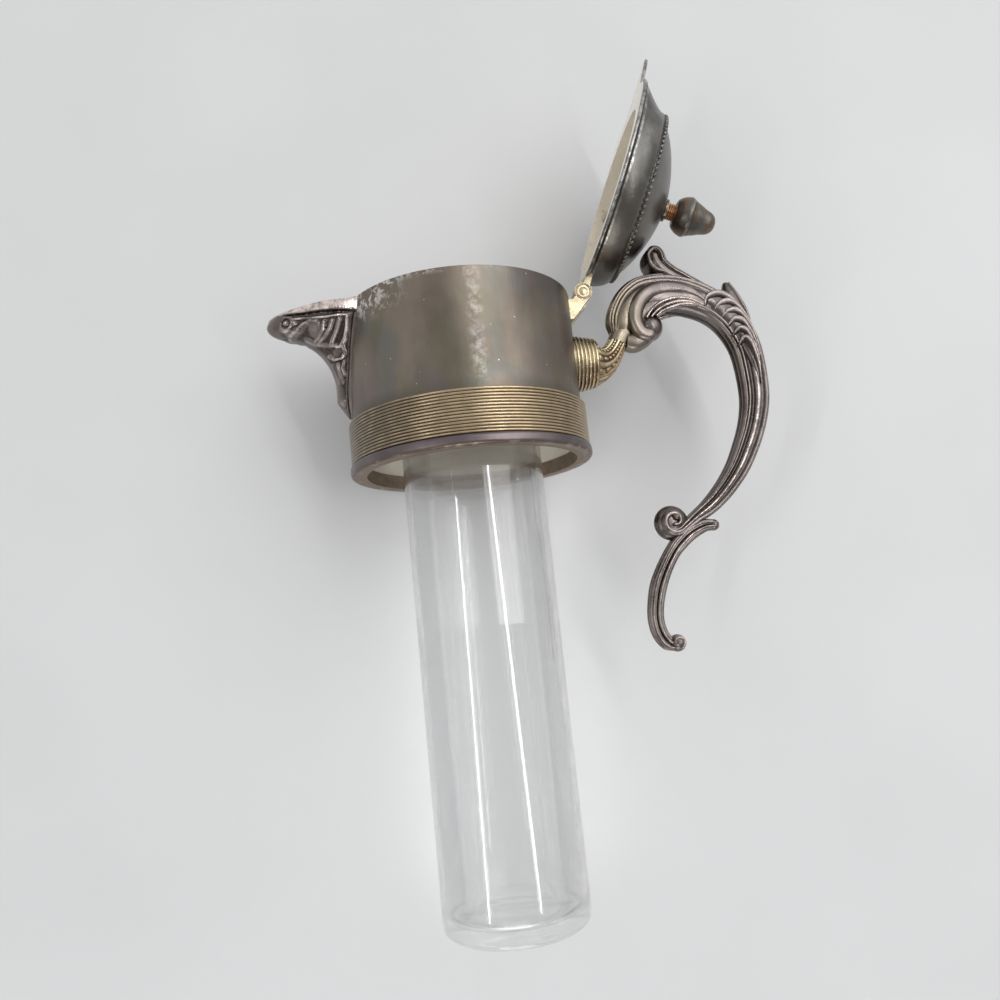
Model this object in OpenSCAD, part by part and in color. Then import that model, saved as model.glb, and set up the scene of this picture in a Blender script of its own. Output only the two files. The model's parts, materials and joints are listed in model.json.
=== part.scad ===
// Claret jug mount: a plated collar with spout, hinged lid, scroll handle and
// a glass ice tube. +Z runs up the collar, +X points to the hinge and handle,
// and the origin is the centre of the collar's lower rim. Millimetres.

/* [Collar] */
// Outer diameter of the plain collar wall
collar_d = 80; // [70:0.5:92]
// Height of the collar
collar_h = 57.8; // [50:0.2:70]
// Thickness of the collar sheet
collar_wall = 1.2; // [0.8:0.1:2]
// How far the lower lip stands out from the collar
lip_out = 2; // [1.9:0.1:5]
// Height of the lower lip
lip_h = 3.6; // [2.5:0.1:6]
// Height of the reeded band above the lip
band_h = 14.4; // [10:0.2:20]
// How far the reeded band stands off the collar wall
band_t = 1.5; // [1.2:0.1:1.9]
// Number of reeds round the band
reed_count = 14; // [6:1:20]

/* [Neck socket] */
// Thickness of the sleeve that fits over the vessel's neck
sleeve_wall = 1.6; // [1:0.1:2.5]
// Height of the sleeve above the seal
sleeve_h = 17; // [10:0.5:24]
// Height of the cork seal inside the lip
seal_h = 5; // [4.4:0.2:8]
// Thickness of the cork seal
seal_t = 2.2; // [1.6:0.1:3]

/* [Ice tube] */
// Outer diameter of the glass tube
tube_d = 48.4; // [40:0.2:54]
// Thickness of the glass wall
tube_wall = 2.2; // [1.6:0.1:3]
// Thickness of the closed glass bottom
tube_base = 5; // [3:0.5:8]
// How far the tube reaches below the collar
tube_drop = 150.7; // [120:0.1:170]
// Width of the turned-out rim beyond the tube
tube_rim_w = 3.6; // [2.5:0.1:5]
// Thickness of the turned-out rim
tube_rim_t = 2.6; // [2:0.1:4]
// Radial clearance of the tube in its seat
tube_gap = 0.6; // [0.4:0.1:1]
// Clearance between the tube's rim and its gasket
rim_gap = 0.3; // [0.2:0.05:0.5]

/* [Tube seat] */
// Depth of the seat plate below the top of the collar
seat_depth = 13.5; // [11:0.5:18]
// Thickness of the seat plate
seat_t = 1.2; // [0.8:0.1:2]
// Depth of the turned-down collar of the seat plate
seat_skirt = 6; // [3:0.5:10]
// Thickness of the gasket on the seat plate
gasket_t = 1.6; // [1:0.1:2.5]
// Width of the gasket
gasket_w = 4.4; // [3:0.1:6]
// Number of air holes in the seat plate
vent_count = 5; // [3:1:9]
// Diameter of an air hole
vent_d = 3.2; // [2:0.1:4]

/* [Spout] */
// Reach of the spout's tip from the collar's axis
spout_reach = 67.6; // [60:0.2:76]
// Half-width of the spout where it leaves the top of the collar
spout_half_w = 22; // [16:0.5:26]
// Gap between the reeded band and the spout's foot
spout_gap = 1.4; // [0.6:0.2:8]
// Depth of the spout's beak below its top edge
beak_h = 6.2; // [4.5:0.1:9]
// Thickness of the spout wall
spout_wall = 1.6; // [1.2:0.1:2.4]
// Radius of the hollow curve under the beak
keel_r = 20; // [17:0.5:22]
// Diameter of a strainer hole
strainer_d = 3; // [2:0.1:4]
// Spacing of the strainer holes
strainer_pitch = 5; // [4.6:0.1:7]

/* [Lid] */
// Angle that the lid stands open from closed
lid_open = 111.4; // [95:0.2:113]
// Height of the ring inside the collar's top that carries the lid
seat_rise = 2; // [1.6:0.1:3]
// Gap between the closed lid and that ring
lid_gap = 0.2; // [0.2:0.05:0.5]
// How far the lid's round edge stays in from the collar's outside
lid_inset = 4.4; // [3:0.1:5]
// How far the lid's centre lies toward the hinge
lid_back = 1.3; // [0:0.1:1.6]
// Reach of the lid's tip from the collar's axis
tongue_reach = 57.5; // [52:0.5:59]
// How far the broad shoulder of the tongue stands out from the round edge
shoulder_out = 9; // [6:0.5:11]
// Half-width of the thin prong where it leaves the shoulder
prong_half_w = 12; // [8:0.5:15]
// Thickness of the lid's edge
edge_t = 1.3; // [1:0.1:1.8]
// Height of the lid's lower tier
tier_h = 10.4; // [8:0.2:13]
// How far the top of the lower tier stays in from the lid's edge
tier_in = 4.4; // [2.6:0.2:5.6]
// Thickness of the lid sheet
lid_wall = 1; // [0.8:0.1:1.4]
// Height of the dome's top above the lid's underside
dome_h = 22; // [20:0.2:28]
// Diameter of the beads round the dome
bead_d = 1.7; // [1.4:0.1:2.2]
// Number of beads round the dome
bead_count = 88; // [60:4:100]

/* [Hinge] */
// Distance of the hinge axis outside the collar wall
hinge_out = 5.2; // [4.6:0.1:8]
// Height of the hinge axis above the top of the collar
hinge_up = 2.5; // [2:0.1:4]
// Radius of the hinge knuckles
knuckle_r = 3.2; // [2.8:0.1:4]
// Width of the lid's knuckle
knuckle_w = 5; // [4:0.5:8]
// Width of each outer knuckle
ear_w = 4.4; // [3:0.1:6]
// Side clearance between knuckles
knuckle_gap = 0.2; // [0.1:0.05:0.4]
// Radius of the hinge pin
pin_r = 1.6; // [1.2:0.1:2]
// Running clearance of the lid's knuckle on the pin
pin_fit = 0.06; // [0.03:0.01:0.1]
// Length of each rounded pin head beyond the knuckles
pin_head = 0.4; // [0.2:0.1:0.8]

/* [Finial] */
// Radius of the threaded stud
stud_r = 3.2; // [2.4:0.1:3.6]
// Length of stud that shows between the washer and the knob
stud_show = 3.3; // [1:0.1:5]
// Running clearance of the knob on the stud
knob_fit = 0.06; // [0.03:0.01:0.1]
// Depth of the stud inside the knob
stud_grip = 8; // [5:0.5:9]
// Radius of the knob at its widest
knob_r = 7.4; // [6.8:0.1:11]
// Length of the knob
knob_l = 16; // [14:0.2:20]
// Radius of the washer on the dome
boss_r = 4.1; // [3.8:0.1:6]
// Thickness of the washer on the dome
boss_t = 0.8; // [0.6:0.1:2]
// Width of the nut across its flats
nut_af = 9.4; // [8.8:0.1:11]
// Thickness of the nut
nut_t = 3; // [2:0.1:4]

/* [Handle] */
// Depth of the handle's root below the collar's top edge
root_drop = 22.4; // [16:0.2:24.8]
// Radius of the ribbed ferrule at the collar
ferrule_r = 10.3; // [9:0.1:12]
// Length of the ferrule from the collar wall
ferrule_l = 7.4; // [6:0.2:10]
// Number of ribs round the ferrule
rib_count = 5; // [3:1:7]
// Radius of the bell where it leaves the ferrule
bell_r = 8.4; // [7:0.1:8.8]
// Length of the bell along X
bell_l = 9.6; // [8:0.2:13]
// Rise of the bell to the scroll
bell_rise = 7; // [5:0.2:9]
// Radius of the bell at the scroll
bell_tip_r = 3.7; // [3.2:0.1:4.5]
// Horizontal reach of the scroll from the bell
scroll_reach = 49; // [44:0.5:60]
// Height from the bell down to the middle of the lower volute
scroll_drop = 66.6; // [60:0.2:80]
// Thickness of the strap at its waist
strap_t = 11.4; // [9:0.2:13]
// Width of the strap from side to side at its waist
strap_w = 9.6; // [8:0.2:12]
// Radius of the ball that ends the upper scroll
ball_r = 4.9; // [4:0.1:6]
// Radius of the lower volute
volute_r = 5.6; // [4.6:0.1:6.4]
// Length of the tail below its start at the strap
tail_l = 39.8; // [34:0.2:46]
// Radius of the screw that holds the handle
screw_r = 2.5; // [2:0.1:3]
// Length of the screw beyond the collar wall
screw_l = 5.4; // [3:0.2:5.8]

/* [Hidden] */
$fn = 96;

collar_r = collar_d / 2;
bore_r = collar_r - collar_wall;
band_r = collar_r + band_t;
band_top = lip_h + band_h;
sleeve_r = bore_r - sleeve_wall;
tube_r = tube_d / 2;
seat_z = collar_h - seat_depth;
gasket_z = seat_z + seat_t;
tube_rim_z = gasket_z + gasket_t + rim_gap;
tube_top = tube_rim_z + tube_rim_t;
gasket_r = tube_r + tube_gap;
hinge_x = collar_r + hinge_out;
hinge_z = collar_h + hinge_up;
lid_z = collar_h + seat_rise + lid_gap;
lid_r = collar_r - lid_inset;
lid_seat_r = lid_r - 0.2;
tier_r = lid_r - tier_in;
shell_r = tier_r - lid_wall - 0.6;
dome_r = tier_r - bead_d - 0.1;
dome_powers = [1.15, 1.54];
leaf_x = lid_back + lid_r - 3;
leaf_t = 2.4;
root_x = collar_r + ferrule_l;
root_z = collar_h - root_drop;
spout_foot_z = band_top + spout_gap;
neck = [root_x + bell_l, root_z + bell_rise];

// ---- small helpers ----

// Value between a and b
function mix(a, b, t) = a * (1 - t) + b * t;

// Catmull-Rom point between p[1] and p[2]
function spline_point(p, t) =
    0.5 * ((2 * p[1]) + (p[2] - p[0]) * t
    + (2 * p[0] - 5 * p[1] + 4 * p[2] - p[3]) * t * t
    + (3 * p[1] - p[0] - 3 * p[2] + p[3]) * t * t * t);

// Smooth curve through a list of points, with a number of steps a span
function spline(list, steps) =
    let (last = len(list) - 1)
    concat([for (i = [0 : last - 1], k = [0 : steps - 1])
        spline_point([list[max(i - 1, 0)], list[i], list[i + 1], list[min(i + 2, last)]], k / steps)],
        [list[last]]);

// Unit direction of a path of [x, z, ...] rows at row i
function heading(path, i) =
    let (a = path[max(i - 1, 0)], b = path[min(i + 1, len(path) - 1)], d = [b[0] - a[0], b[1] - a[1]])
    d / norm(d);

// Faces that close a stack of rings, each with n points that run clockwise about the way up
function ring_faces(rings, n) = concat(
    [for (i = [0 : rings - 2], k = [0 : n - 1])
        [i * n + k, i * n + (k + 1) % n, (i + 1) * n + (k + 1) % n]],
    [for (i = [0 : rings - 2], k = [0 : n - 1])
        [i * n + k, (i + 1) * n + (k + 1) % n, (i + 1) * n + k]],
    [[for (k = [n - 1 : -1 : 0]) k]],
    [[for (k = [0 : n - 1]) (rings - 1) * n + k]]);

// Oval bar along a path in the XZ plane; each row is [x, z, thickness, width]
module bar(path, sides = 12) {
    points = [for (i = [0 : len(path) - 1], k = [0 : sides - 1])
        let (h = heading(path, i), a = 360 * (k + 0.5) / sides, r = path[i][2] / 2 * cos(a))
        [path[i][0] - h[1] * r, path[i][3] / 2 * sin(a), path[i][1] + h[0] * r]];
    polyhedron(points, ring_faces(len(path), sides));
}

// Ring between two radii
module ring(outer, inner, h) {
    difference() {
        cylinder(r = outer, h = h);
        translate([0, 0, -1]) cylinder(r = inner, h = h + 2);
    }
}

// Moves the closed lid's pieces to the open rest pose
module opened() {
    translate([hinge_x, 0, hinge_z])
        rotate([0, lid_open, 0])
            translate([-hinge_x, 0, -hinge_z]) children();
}

// Moves a piece drawn about the lid's own axis onto the open lid
module on_lid() {
    opened() translate([lid_back, 0, lid_z]) children();
}

// Round bar along Y through the hinge axis
module along_hinge(r, y0, y1) {
    translate([hinge_x, y1, hinge_z]) rotate([90, 0, 0]) cylinder(r = r, h = y1 - y0, $fn = 48);
}

// ---- collar ----

module collar_drum() {
    color("dimgray") difference() {
        translate([0, 0, lip_h]) ring(collar_r, bore_r, collar_h - lip_h);
        strainer_holes();
        translate([bore_r - 2, 0, root_z]) rotate([0, 90, 0]) cylinder(r = screw_r, h = 6, $fn = 32);
    }
}

// Rows of round holes through the wall behind the spout, fewer lower down
module strainer_holes() {
    rows = 3;
    most = 4;
    top_z = seat_z - seat_skirt;
    for (row = [0 : rows - 1], k = [row - most + 1 : 2 : most - row - 1])
        translate([0, 0, top_z - row * strainer_pitch])
            rotate([0, 0, 180 + k * strainer_pitch * 28.6 / collar_r])
                translate([bore_r - 2, 0, 0]) rotate([0, 90, 0]) cylinder(d = strainer_d, h = 6, $fn = 24);
}

module reeded_band() {
    pitch = band_h / reed_count;
    color("tan") translate([0, 0, lip_h]) rotate_extrude()
        union() {
            translate([collar_r, 0]) square([band_t - pitch / 2, band_h]);
            for (i = [0 : reed_count - 1])
                translate([band_r - pitch / 2, (i + 0.5) * pitch]) circle(r = pitch / 2, $fn = 24);
        }
}

module base_lip() {
    lip_r = collar_r + lip_out;
    soft = lip_h / 3;
    color("slategray") rotate_extrude() difference() {
        union() {
            translate([bore_r, 0]) square([lip_r - soft - bore_r, lip_h]);
            translate([lip_r - soft - 1, soft]) square([soft + 1, lip_h - 2 * soft]);
            translate([lip_r - soft, soft]) circle(r = soft, $fn = 32);
            translate([lip_r - soft, lip_h - soft]) circle(r = soft, $fn = 32);
        }
    }
}

module neck_sleeve() {
    color("palegoldenrod") translate([0, 0, seal_h]) ring(bore_r, sleeve_r, sleeve_h);
}

module neck_seal() {
    color("saddlebrown") ring(bore_r, bore_r - seal_t, seal_h);
}

// ---- ice tube and its seat ----

module seat_plate() {
    color("palegoldenrod") difference() {
        union() {
            translate([0, 0, seat_z]) cylinder(r = bore_r, h = seat_t);
            translate([0, 0, seat_z - seat_skirt]) cylinder(r = gasket_r + seat_t, h = seat_skirt + seat_t);
        }
        translate([0, 0, seat_z - seat_skirt - 1]) cylinder(r = gasket_r, h = seat_skirt + seat_t + 2);
        vent_ring = (gasket_r + gasket_w + bore_r) / 2;
        for (i = [0 : vent_count - 1]) rotate([0, 0, (i - (vent_count - 1) / 2) * 16])
            translate([vent_ring, 0, seat_z - 1]) cylinder(d = vent_d, h = seat_t + 2, $fn = 24);
    }
}

module tube_gasket() {
    color("gainsboro") translate([0, 0, gasket_z]) ring(gasket_r + gasket_w, gasket_r, gasket_t);
}

module ice_tube() {
    foot = 2.4;
    rim_r = tube_r + tube_rim_w;
    color("aliceblue", 0.35) difference() {
        union() {
            translate([0, 0, -tube_drop + foot]) cylinder(r = tube_r, h = tube_top + tube_drop - foot);
            translate([0, 0, -tube_drop]) cylinder(r1 = tube_r - foot, r2 = tube_r, h = foot);
            translate([0, 0, tube_rim_z]) cylinder(r = rim_r, h = tube_rim_t);
        }
        translate([0, 0, -tube_drop + tube_base]) cylinder(r = tube_r - tube_wall, h = tube_top + tube_drop);
    }
}

// ---- spout ----

// Half-width of the spout on the collar at height z, inset by the wall
function spout_w(z, inset) =
    let (t = (z - spout_foot_z) / (collar_h - spout_foot_z))
    max(1, (spout_half_w - 1.5) * pow(t, 0.6) + 1.5 - inset);

// Reach of the keel from the collar's axis at height z: hollow curve, then the beak
function keel_x(z) =
    let (beak_z = collar_h - beak_h,
         curve_z = beak_z - keel_r,
         up = (z - beak_z) / beak_h,
         down = min(keel_r, beak_z - z))
    z > beak_z ? spout_reach - 2.4 * pow(1 - up, 2)
    : min(spout_reach - 2.4 - keel_r * sqrt(1 - pow((keel_r - down) / keel_r, 2)),
          collar_r + (z - spout_foot_z) * 0.62 + 0.4 + 3 * max(0, z - spout_foot_z - 9));

// One level of the spout: a loop from inside the collar round the keel and back,
// inset from the outer wall on both sides and from the underside of the beak
function spout_ring(z, inset, sides) =
    let (w = spout_w(z, inset),
         back = sqrt(collar_r * collar_r - w * w) - 3,
         tip = max(keel_x(z - inset) - inset, back + 1),
         sharp = mix(1.7, 1.4, (z - spout_foot_z) / (collar_h - spout_foot_z)))
    [for (k = [0 : sides - 1])
        let (u = -1 + 2 * k / (sides - 1))
        [-back - (tip - back) * (1 - pow(abs(u), sharp)), w * u, z]];

// Solid between two heights of the spout
module spout_body(z0, z1, inset, levels = 16, sides = 17) {
    points = [for (i = [0 : levels]) each spout_ring(mix(z0, z1, i / levels), inset, sides)];
    polyhedron(points, ring_faces(levels + 1, sides));
}

module spout() {
    color("gray") difference() {
        spout_body(spout_foot_z, collar_h, 0);
        spout_body(spout_foot_z + 6, collar_h + 0.5, spout_wall);
        cylinder(r = collar_r, h = collar_h + 1);
    }
}

// ---- hinge ----

module hinge_bracket() {
    ear_in = knuckle_w / 2 + knuckle_gap;
    color("khaki") difference() {
        translate([collar_r - 2, -ear_in - 0.1, collar_h - 7.6]) cube([2.8, 2 * ear_in + 0.2, 4]);
        cylinder(r = collar_r, h = collar_h + 10);
    }
    color("khaki") difference() {
        for (side = [-1, 1]) {
            y0 = side > 0 ? ear_in : -ear_in - ear_w;
            along_hinge(knuckle_r, y0, y0 + ear_w);
            translate([0, y0 + ear_w, 0]) rotate([90, 0, 0]) linear_extrude(ear_w)
                polygon([[collar_r - 2, collar_h - 7.6], [collar_r + 0.6, collar_h - 7.6],
                         [hinge_x + 2.2, hinge_z - 2.2], [hinge_x, hinge_z], [hinge_x - 2.6, hinge_z - 1.2],
                         [collar_r + 1, collar_h - 0.3], [collar_r - 2, collar_h - 0.3]]);
        }
        translate([0, 0, collar_h - 20]) cylinder(r = collar_r, h = 30);
        along_hinge(pin_r, -20, 20);
    }
}

module hinge_pin() {
    half = knuckle_w / 2 + knuckle_gap + ear_w;
    color("khaki") union() {
        along_hinge(pin_r, -half - pin_head, half + pin_head);
    }
}

module lid_leaf() {
    half = knuckle_w / 2;
    color("khaki") opened() difference() {
        union() {
            along_hinge(knuckle_r - 0.2, -half, half);
            translate([leaf_x, -half, lid_z]) cube([hinge_x - leaf_x, knuckle_w, leaf_t]);
        }
        along_hinge(pin_r + pin_fit, -20, 20);
    }
}

// ---- lid, drawn closed and then opened ----

// Share left of a swell that fades out at an angle w from the tip
function fade(off, w, power) = off >= w ? 0 : pow(1 - off / w, power);

// Reach of the tier's foot at an angle from the hinge side: round edge and shoulder
function foot_reach(a) = lid_r + shoulder_out * fade(abs(a - 180), 60, 1);

// Reach of the lid's edge: the same with the thin prong added
function edge_reach(a) =
    let (prong = tongue_reach + lid_back - lid_r - shoulder_out,
         w = atan2(prong_half_w, lid_r + shoulder_out))
    foot_reach(a) + prong * fade(abs(a - 180), w, 2);

// Profile of the lower tier at one angle: rows of [radius, height]
function tier_profile(a) =
    let (e = edge_reach(a),
         foot = foot_reach(a) - 1.2 + 0.12 * (e - foot_reach(a)),
         low = edge_t + 0.7,
         flat = fade(abs(a - 180), 60, 0.5))
    concat([[e, 0], [e, edge_t], [foot + 0.7, edge_t + 0.1]],
        [for (t = [0 : 0.2 : 1])
            [tier_r + (foot - tier_r) * pow(1 - pow(t, mix(1.8, 1, flat)), mix(0.7, 2.4, flat)),
             low + (tier_h - low) * t]]);

module tier_solid(sides = 120) {
    rows = len(tier_profile(0));
    points = [for (j = [0 : rows - 1], k = [0 : sides - 1])
        let (a = 360 - 360 * k / sides, p = tier_profile(a)[j])
        [p[0] * cos(a), p[0] * sin(a), p[1]]];
    polyhedron(points, ring_faces(rows, sides));
}

module lid_flange() {
    color("gray") difference() {
        on_lid() difference() {
            tier_solid();
            translate([0, 0, -1]) cylinder(r = shell_r, h = tier_h + 2);
        }
        opened() translate([leaf_x, -knuckle_w / 2, lid_z - 1]) cube([10, knuckle_w, leaf_t + 1]);
    }
}

// Dome outline from its base up to the crown: rows of [radius, height]
function dome_curve(r, h, n) =
    [for (i = [0 : n]) let (a = 90 * i / n)
        [r * pow(max(0, cos(a)), dome_powers[0]), h * pow(sin(a), dome_powers[1])]];

module lid_dome() {
    rise = dome_h - tier_h;
    color("gray") on_lid() translate([0, 0, tier_h]) difference() {
        rotate_extrude() polygon(concat([[0, 0]], dome_curve(dome_r, rise, 14)));
        translate([0, 0, -0.01]) rotate_extrude()
            polygon(concat([[0, 0]], dome_curve(dome_r - lid_wall, rise - lid_wall, 14)));
        translate([0, 0, -1]) cylinder(r = stud_r, h = dome_h, $fn = 48);
    }
}

module bead_ring() {
    color("darkgray") on_lid() translate([0, 0, tier_h]) union() {
        ring(dome_r + bead_d * 0.75, dome_r, bead_d * 0.4);
        for (i = [0 : bead_count - 1]) rotate([0, 0, 360 * i / bead_count])
            translate([dome_r + bead_d / 2, 0, bead_d / 2]) sphere(d = bead_d, $fn = 20);
    }
}

// Ledge and low ring inside the collar's top that carry the closed lid
module lid_seat() {
    color("palegoldenrod") translate([0, 0, collar_h - 1.4]) union() {
        ring(bore_r, lid_seat_r - 1.5, 1.4);
        ring(lid_seat_r, lid_seat_r - 1.5, 1.4 + seat_rise);
    }
}

// ---- finial ----

module finial_washer() {
    color("dimgray") on_lid() translate([0, 0, dome_h]) ring(boss_r, stud_r, boss_t);
}

module finial_stud() {
    under = nut_t + 2.4;
    color("peru") on_lid() translate([0, 0, dome_h - lid_wall - under])
        cylinder(r = stud_r, h = under + lid_wall + boss_t + stud_show + stud_grip, $fn = 48);
}

// How far a dome has fallen at radius x from its middle
function dome_fall(x, r, h) = h * (1 - pow(sin(acos(pow(x / r, 1 / dome_powers[0]))), dome_powers[1]));

module finial_nut() {
    fall = dome_fall(nut_af / 2 / cos(30), dome_r - lid_wall, dome_h - tier_h - lid_wall) + 0.2;
    color("peru") on_lid() translate([0, 0, dome_h - lid_wall - fall - nut_t]) difference() {
        cylinder(d = nut_af / cos(30), h = nut_t, $fn = 6);
        translate([0, 0, -1]) cylinder(r = stud_r, h = nut_t + 2, $fn = 48);
    }
}

module finial_knob() {
    base = knob_r * 0.62;
    tip = knob_r * 0.5;
    color("dimgray") on_lid() translate([0, 0, dome_h + boss_t + stud_show]) difference() {
        rotate_extrude() polygon([[0, 0], [base, 0], [base + 1, 0.5], [knob_r - 0.6, 2.2], [knob_r - 0.1, 3.6],
            [knob_r, 5], [knob_r - 0.5, 6.1], [knob_r - 1.3, 7.6], [tip + 1.2, knob_l - 5.2],
            [tip + 0.5, knob_l - 2.8], [tip - 0.8, knob_l - 1], [tip - 2.4, knob_l - 0.2], [0, knob_l]]);
        translate([0, 0, -1]) cylinder(r = stud_r + knob_fit, h = stud_grip + 1.3, $fn = 48);
    }
}

// ---- handle ----

module handle_ferrule() {
    pitch = ferrule_l / rib_count;
    color("tan") difference() {
        translate([0, 0, root_z]) rotate([0, 90, 0]) union() {
            translate([0, 0, collar_r - 3]) cylinder(r = ferrule_r - 0.9, h = 3 + pitch);
            for (i = [0 : rib_count - 1]) translate([0, 0, collar_r + i * pitch])
                rotate_extrude() {
                    r = mix(ferrule_r, bell_r + 0.4, i / (rib_count - 1));
                    square([r - pitch / 3, pitch]);
                    translate([r - pitch / 3, pitch / 2]) circle(r = pitch / 2.2, $fn = 24);
                }
        }
        cylinder(r = collar_r, h = collar_h);
        translate([0, 0, root_z]) rotate([0, 90, 0]) cylinder(r = screw_r, h = collar_r + screw_l, $fn = 32);
    }
}

// Bell's middle line from the ferrule up to the neck: rows of [x, z, thickness, width]
bell_path = [for (i = [0 : 8]) let (t = i / 8, a = 90 * t, d = 2 * mix(bell_r, bell_tip_r, pow(sin(a), 1.3)))
    [root_x + bell_l * t, root_z + bell_rise * (1 - cos(a)) * t, d, d]];
neck_way = heading(bell_path, 8);
neck_gap = 0.2;

module handle_bell() {
    color("tan") bar(concat([bell_path[0], bell_path[0] + [0.1, 0, 0, 0]],
        [for (i = [1 : 8]) bell_path[i]]), 24);
}

// Strap from the bell over the top and down to the lower volute: percent of the reach
// and of the drop, then thickness and width as shares of the waist's
strap_rows = [
    [1.5, 3, 0.66, 0.8], [5, 14, 1, 1.15], [21, 26, 1.25, 1.3], [48, 26, 1.36, 1.25], [74, 18, 1.2, 1.2],
    [93, 2, 1.12, 1.1], [99.5, -20, 1.03, 1], [97, -43, 0.93, 1], [86, -64, 0.83, 0.98],
    [70, -81.5, 0.7, 0.94], [52, -94, 0.56, 0.88], [42, -98.5, 0.46, 0.85]];

// Tail from its start under the strap to the curled end
tail_rows = [
    [56, -103.5, 0.2, 0.46], [32, -108, 0.52, 0.7], [16, -123, 0.52, 0.7], [4, -141, 0.52, 0.67],
    [2, -150, 0.51, 0.65], [4, -158, 0.53, 0.62], [8, -163.5, 0.5, 0.58]];

// Row in millimetres: x, z, thickness and width
function strap_row(p) =
    [neck[0] + scroll_reach * p[0] / 100, neck[1] + scroll_drop * p[1] / 100, strap_t * p[2], strap_w * p[3]];

// Row of the tail, whose length below its own start is set by itself
function tail_row(p) =
    let (start = tail_rows[0][1], span = start - tail_rows[len(tail_rows) - 1][1],
         r = strap_row([p[0], start, p[2], p[3]]))
    [r[0], r[1] - tail_l * (start - p[1]) / span, r[2], r[3]];

volute = [neck[0] + scroll_reach * 0.24, neck[1] - scroll_drop * 0.993];

// Turns of the lower volute, drawn in clockwise to its eye
volute_rows = [for (k = [0 : 7])
    let (a = -42 - 45 * k, r = (volute_r - 1.7) * (1 - k / 18))
    [volute[0] + r * cos(a), volute[1] + r * sin(a), 4.2 - 0.2 * k, strap_w * 0.84]];

// Hollow thumb leaf that stands on the strap behind the open lid
thumb_rows = [
    [86, 21, 0.4, 0.6], [77, 28.5, 0.36, 0.8], [66, 33.4, 0.36, 0.9], [52, 38.6, 0.4, 1], [42, 43.5, 0.42, 1],
    [34.5, 49, 0.42, 1], [34, 53, 0.26, 0.8]];

// Leaf tip that stands up behind it
spur_rows = [[71, 21, 0.9, 1], [82, 26.5, 0.5, 0.8], [87.5, 29, 0.3, 0.6], [91, 31, 0.1, 0.3]];

module handle_scroll() {
    curl = tail_row(tail_rows[len(tail_rows) - 1]);
    ball = strap_row([26, 7.4, 0, 0]);
    foot = strap_row([13, 0.2, 0.7, 0.84]);
    grip = 2 * bell_tip_r;
    color("gray") union() {
        bar(concat(spline([for (p = strap_rows) strap_row(p)], 6), spline(volute_rows, 3)), 14);
        bar([[neck[0] + neck_gap * neck_way[0], neck[1] + neck_gap * neck_way[1], grip, grip],
             [neck[0] + 3 * neck_way[0], neck[1] + 3 * neck_way[1], grip, grip]], 24);
        bar(spline([[neck[0] + 5.2, neck[1] + 1.4, 5.2, 7], foot, [ball[0] - 1, ball[1] - 1, 8, 8],
                    [ball[0] + 1, ball[1] + 1, 6, 7]], 3), 12);
        bar(spline([for (p = tail_rows) tail_row(p)], 5), 12);
        bar(spline([for (p = thumb_rows) strap_row(p)], 3), 12);
        bar([for (p = spur_rows) strap_row(p)], 10);
        translate([ball[0], 0, ball[1]]) sphere(r = ball_r, $fn = 32);
        bar([[curl[0] - 0.6, curl[1] + 0.6, 5.6, 5.4], [curl[0] + 2.4, curl[1] - 0.4, 6, 5.6]], 12);
        translate([curl[0] + 3.4, 0, curl[1] - 0.2]) sphere(r = strap_t * 0.31, $fn = 24);
    }
}

module handle_screw() {
    head_h = 2.4;
    color("silver") translate([0, 0, root_z]) rotate([0, 90, 0]) difference() {
        union() {
            translate([0, 0, bore_r - 3.6]) cylinder(r = screw_r, h = 3.6 + collar_wall + screw_l, $fn = 32);
            translate([0, 0, bore_r - 3.6 - head_h]) cylinder(r = screw_r + 1.8, h = head_h, $fn = 32);
        }
        translate([-0.6, -6, bore_r - 3.6 - head_h - 1]) cube([1.2, 12, 2]);
    }
}

module handle_washer() {
    color("silver") difference() {
        translate([bore_r - 3.6, 0, root_z]) rotate([0, 90, 0]) cylinder(r = screw_r + 3.4, h = 6, $fn = 48);
        difference() {
            translate([0, 0, root_z - 15]) cylinder(r = collar_r + 9, h = 30);
            translate([0, 0, root_z - 16]) cylinder(r = bore_r, h = 32);
        }
        translate([0, 0, root_z]) rotate([0, 90, 0]) cylinder(r = screw_r, h = collar_r, $fn = 32);
    }
}

collar_drum();
reeded_band();
base_lip();
neck_sleeve();
neck_seal();
seat_plate();
tube_gasket();
ice_tube();
spout();
lid_seat();
hinge_bracket();
hinge_pin();
lid_leaf();
lid_flange();
lid_dome();
bead_ring();
finial_washer();
finial_stud();
finial_nut();
finial_knob();
handle_ferrule();
handle_bell();
handle_scroll();
handle_screw();
handle_washer();
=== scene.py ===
"""Finishes and fine shapes for a claret jug mount: collar, spout, hinged lid, scroll handle and ice tube.

Every new surface is worked out in millimetres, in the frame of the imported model, and carried into its mesh
in metres. Closed lid pieces are worked out about the lid's own axis and then turned to the open pose.
"""

import json
import math

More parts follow.
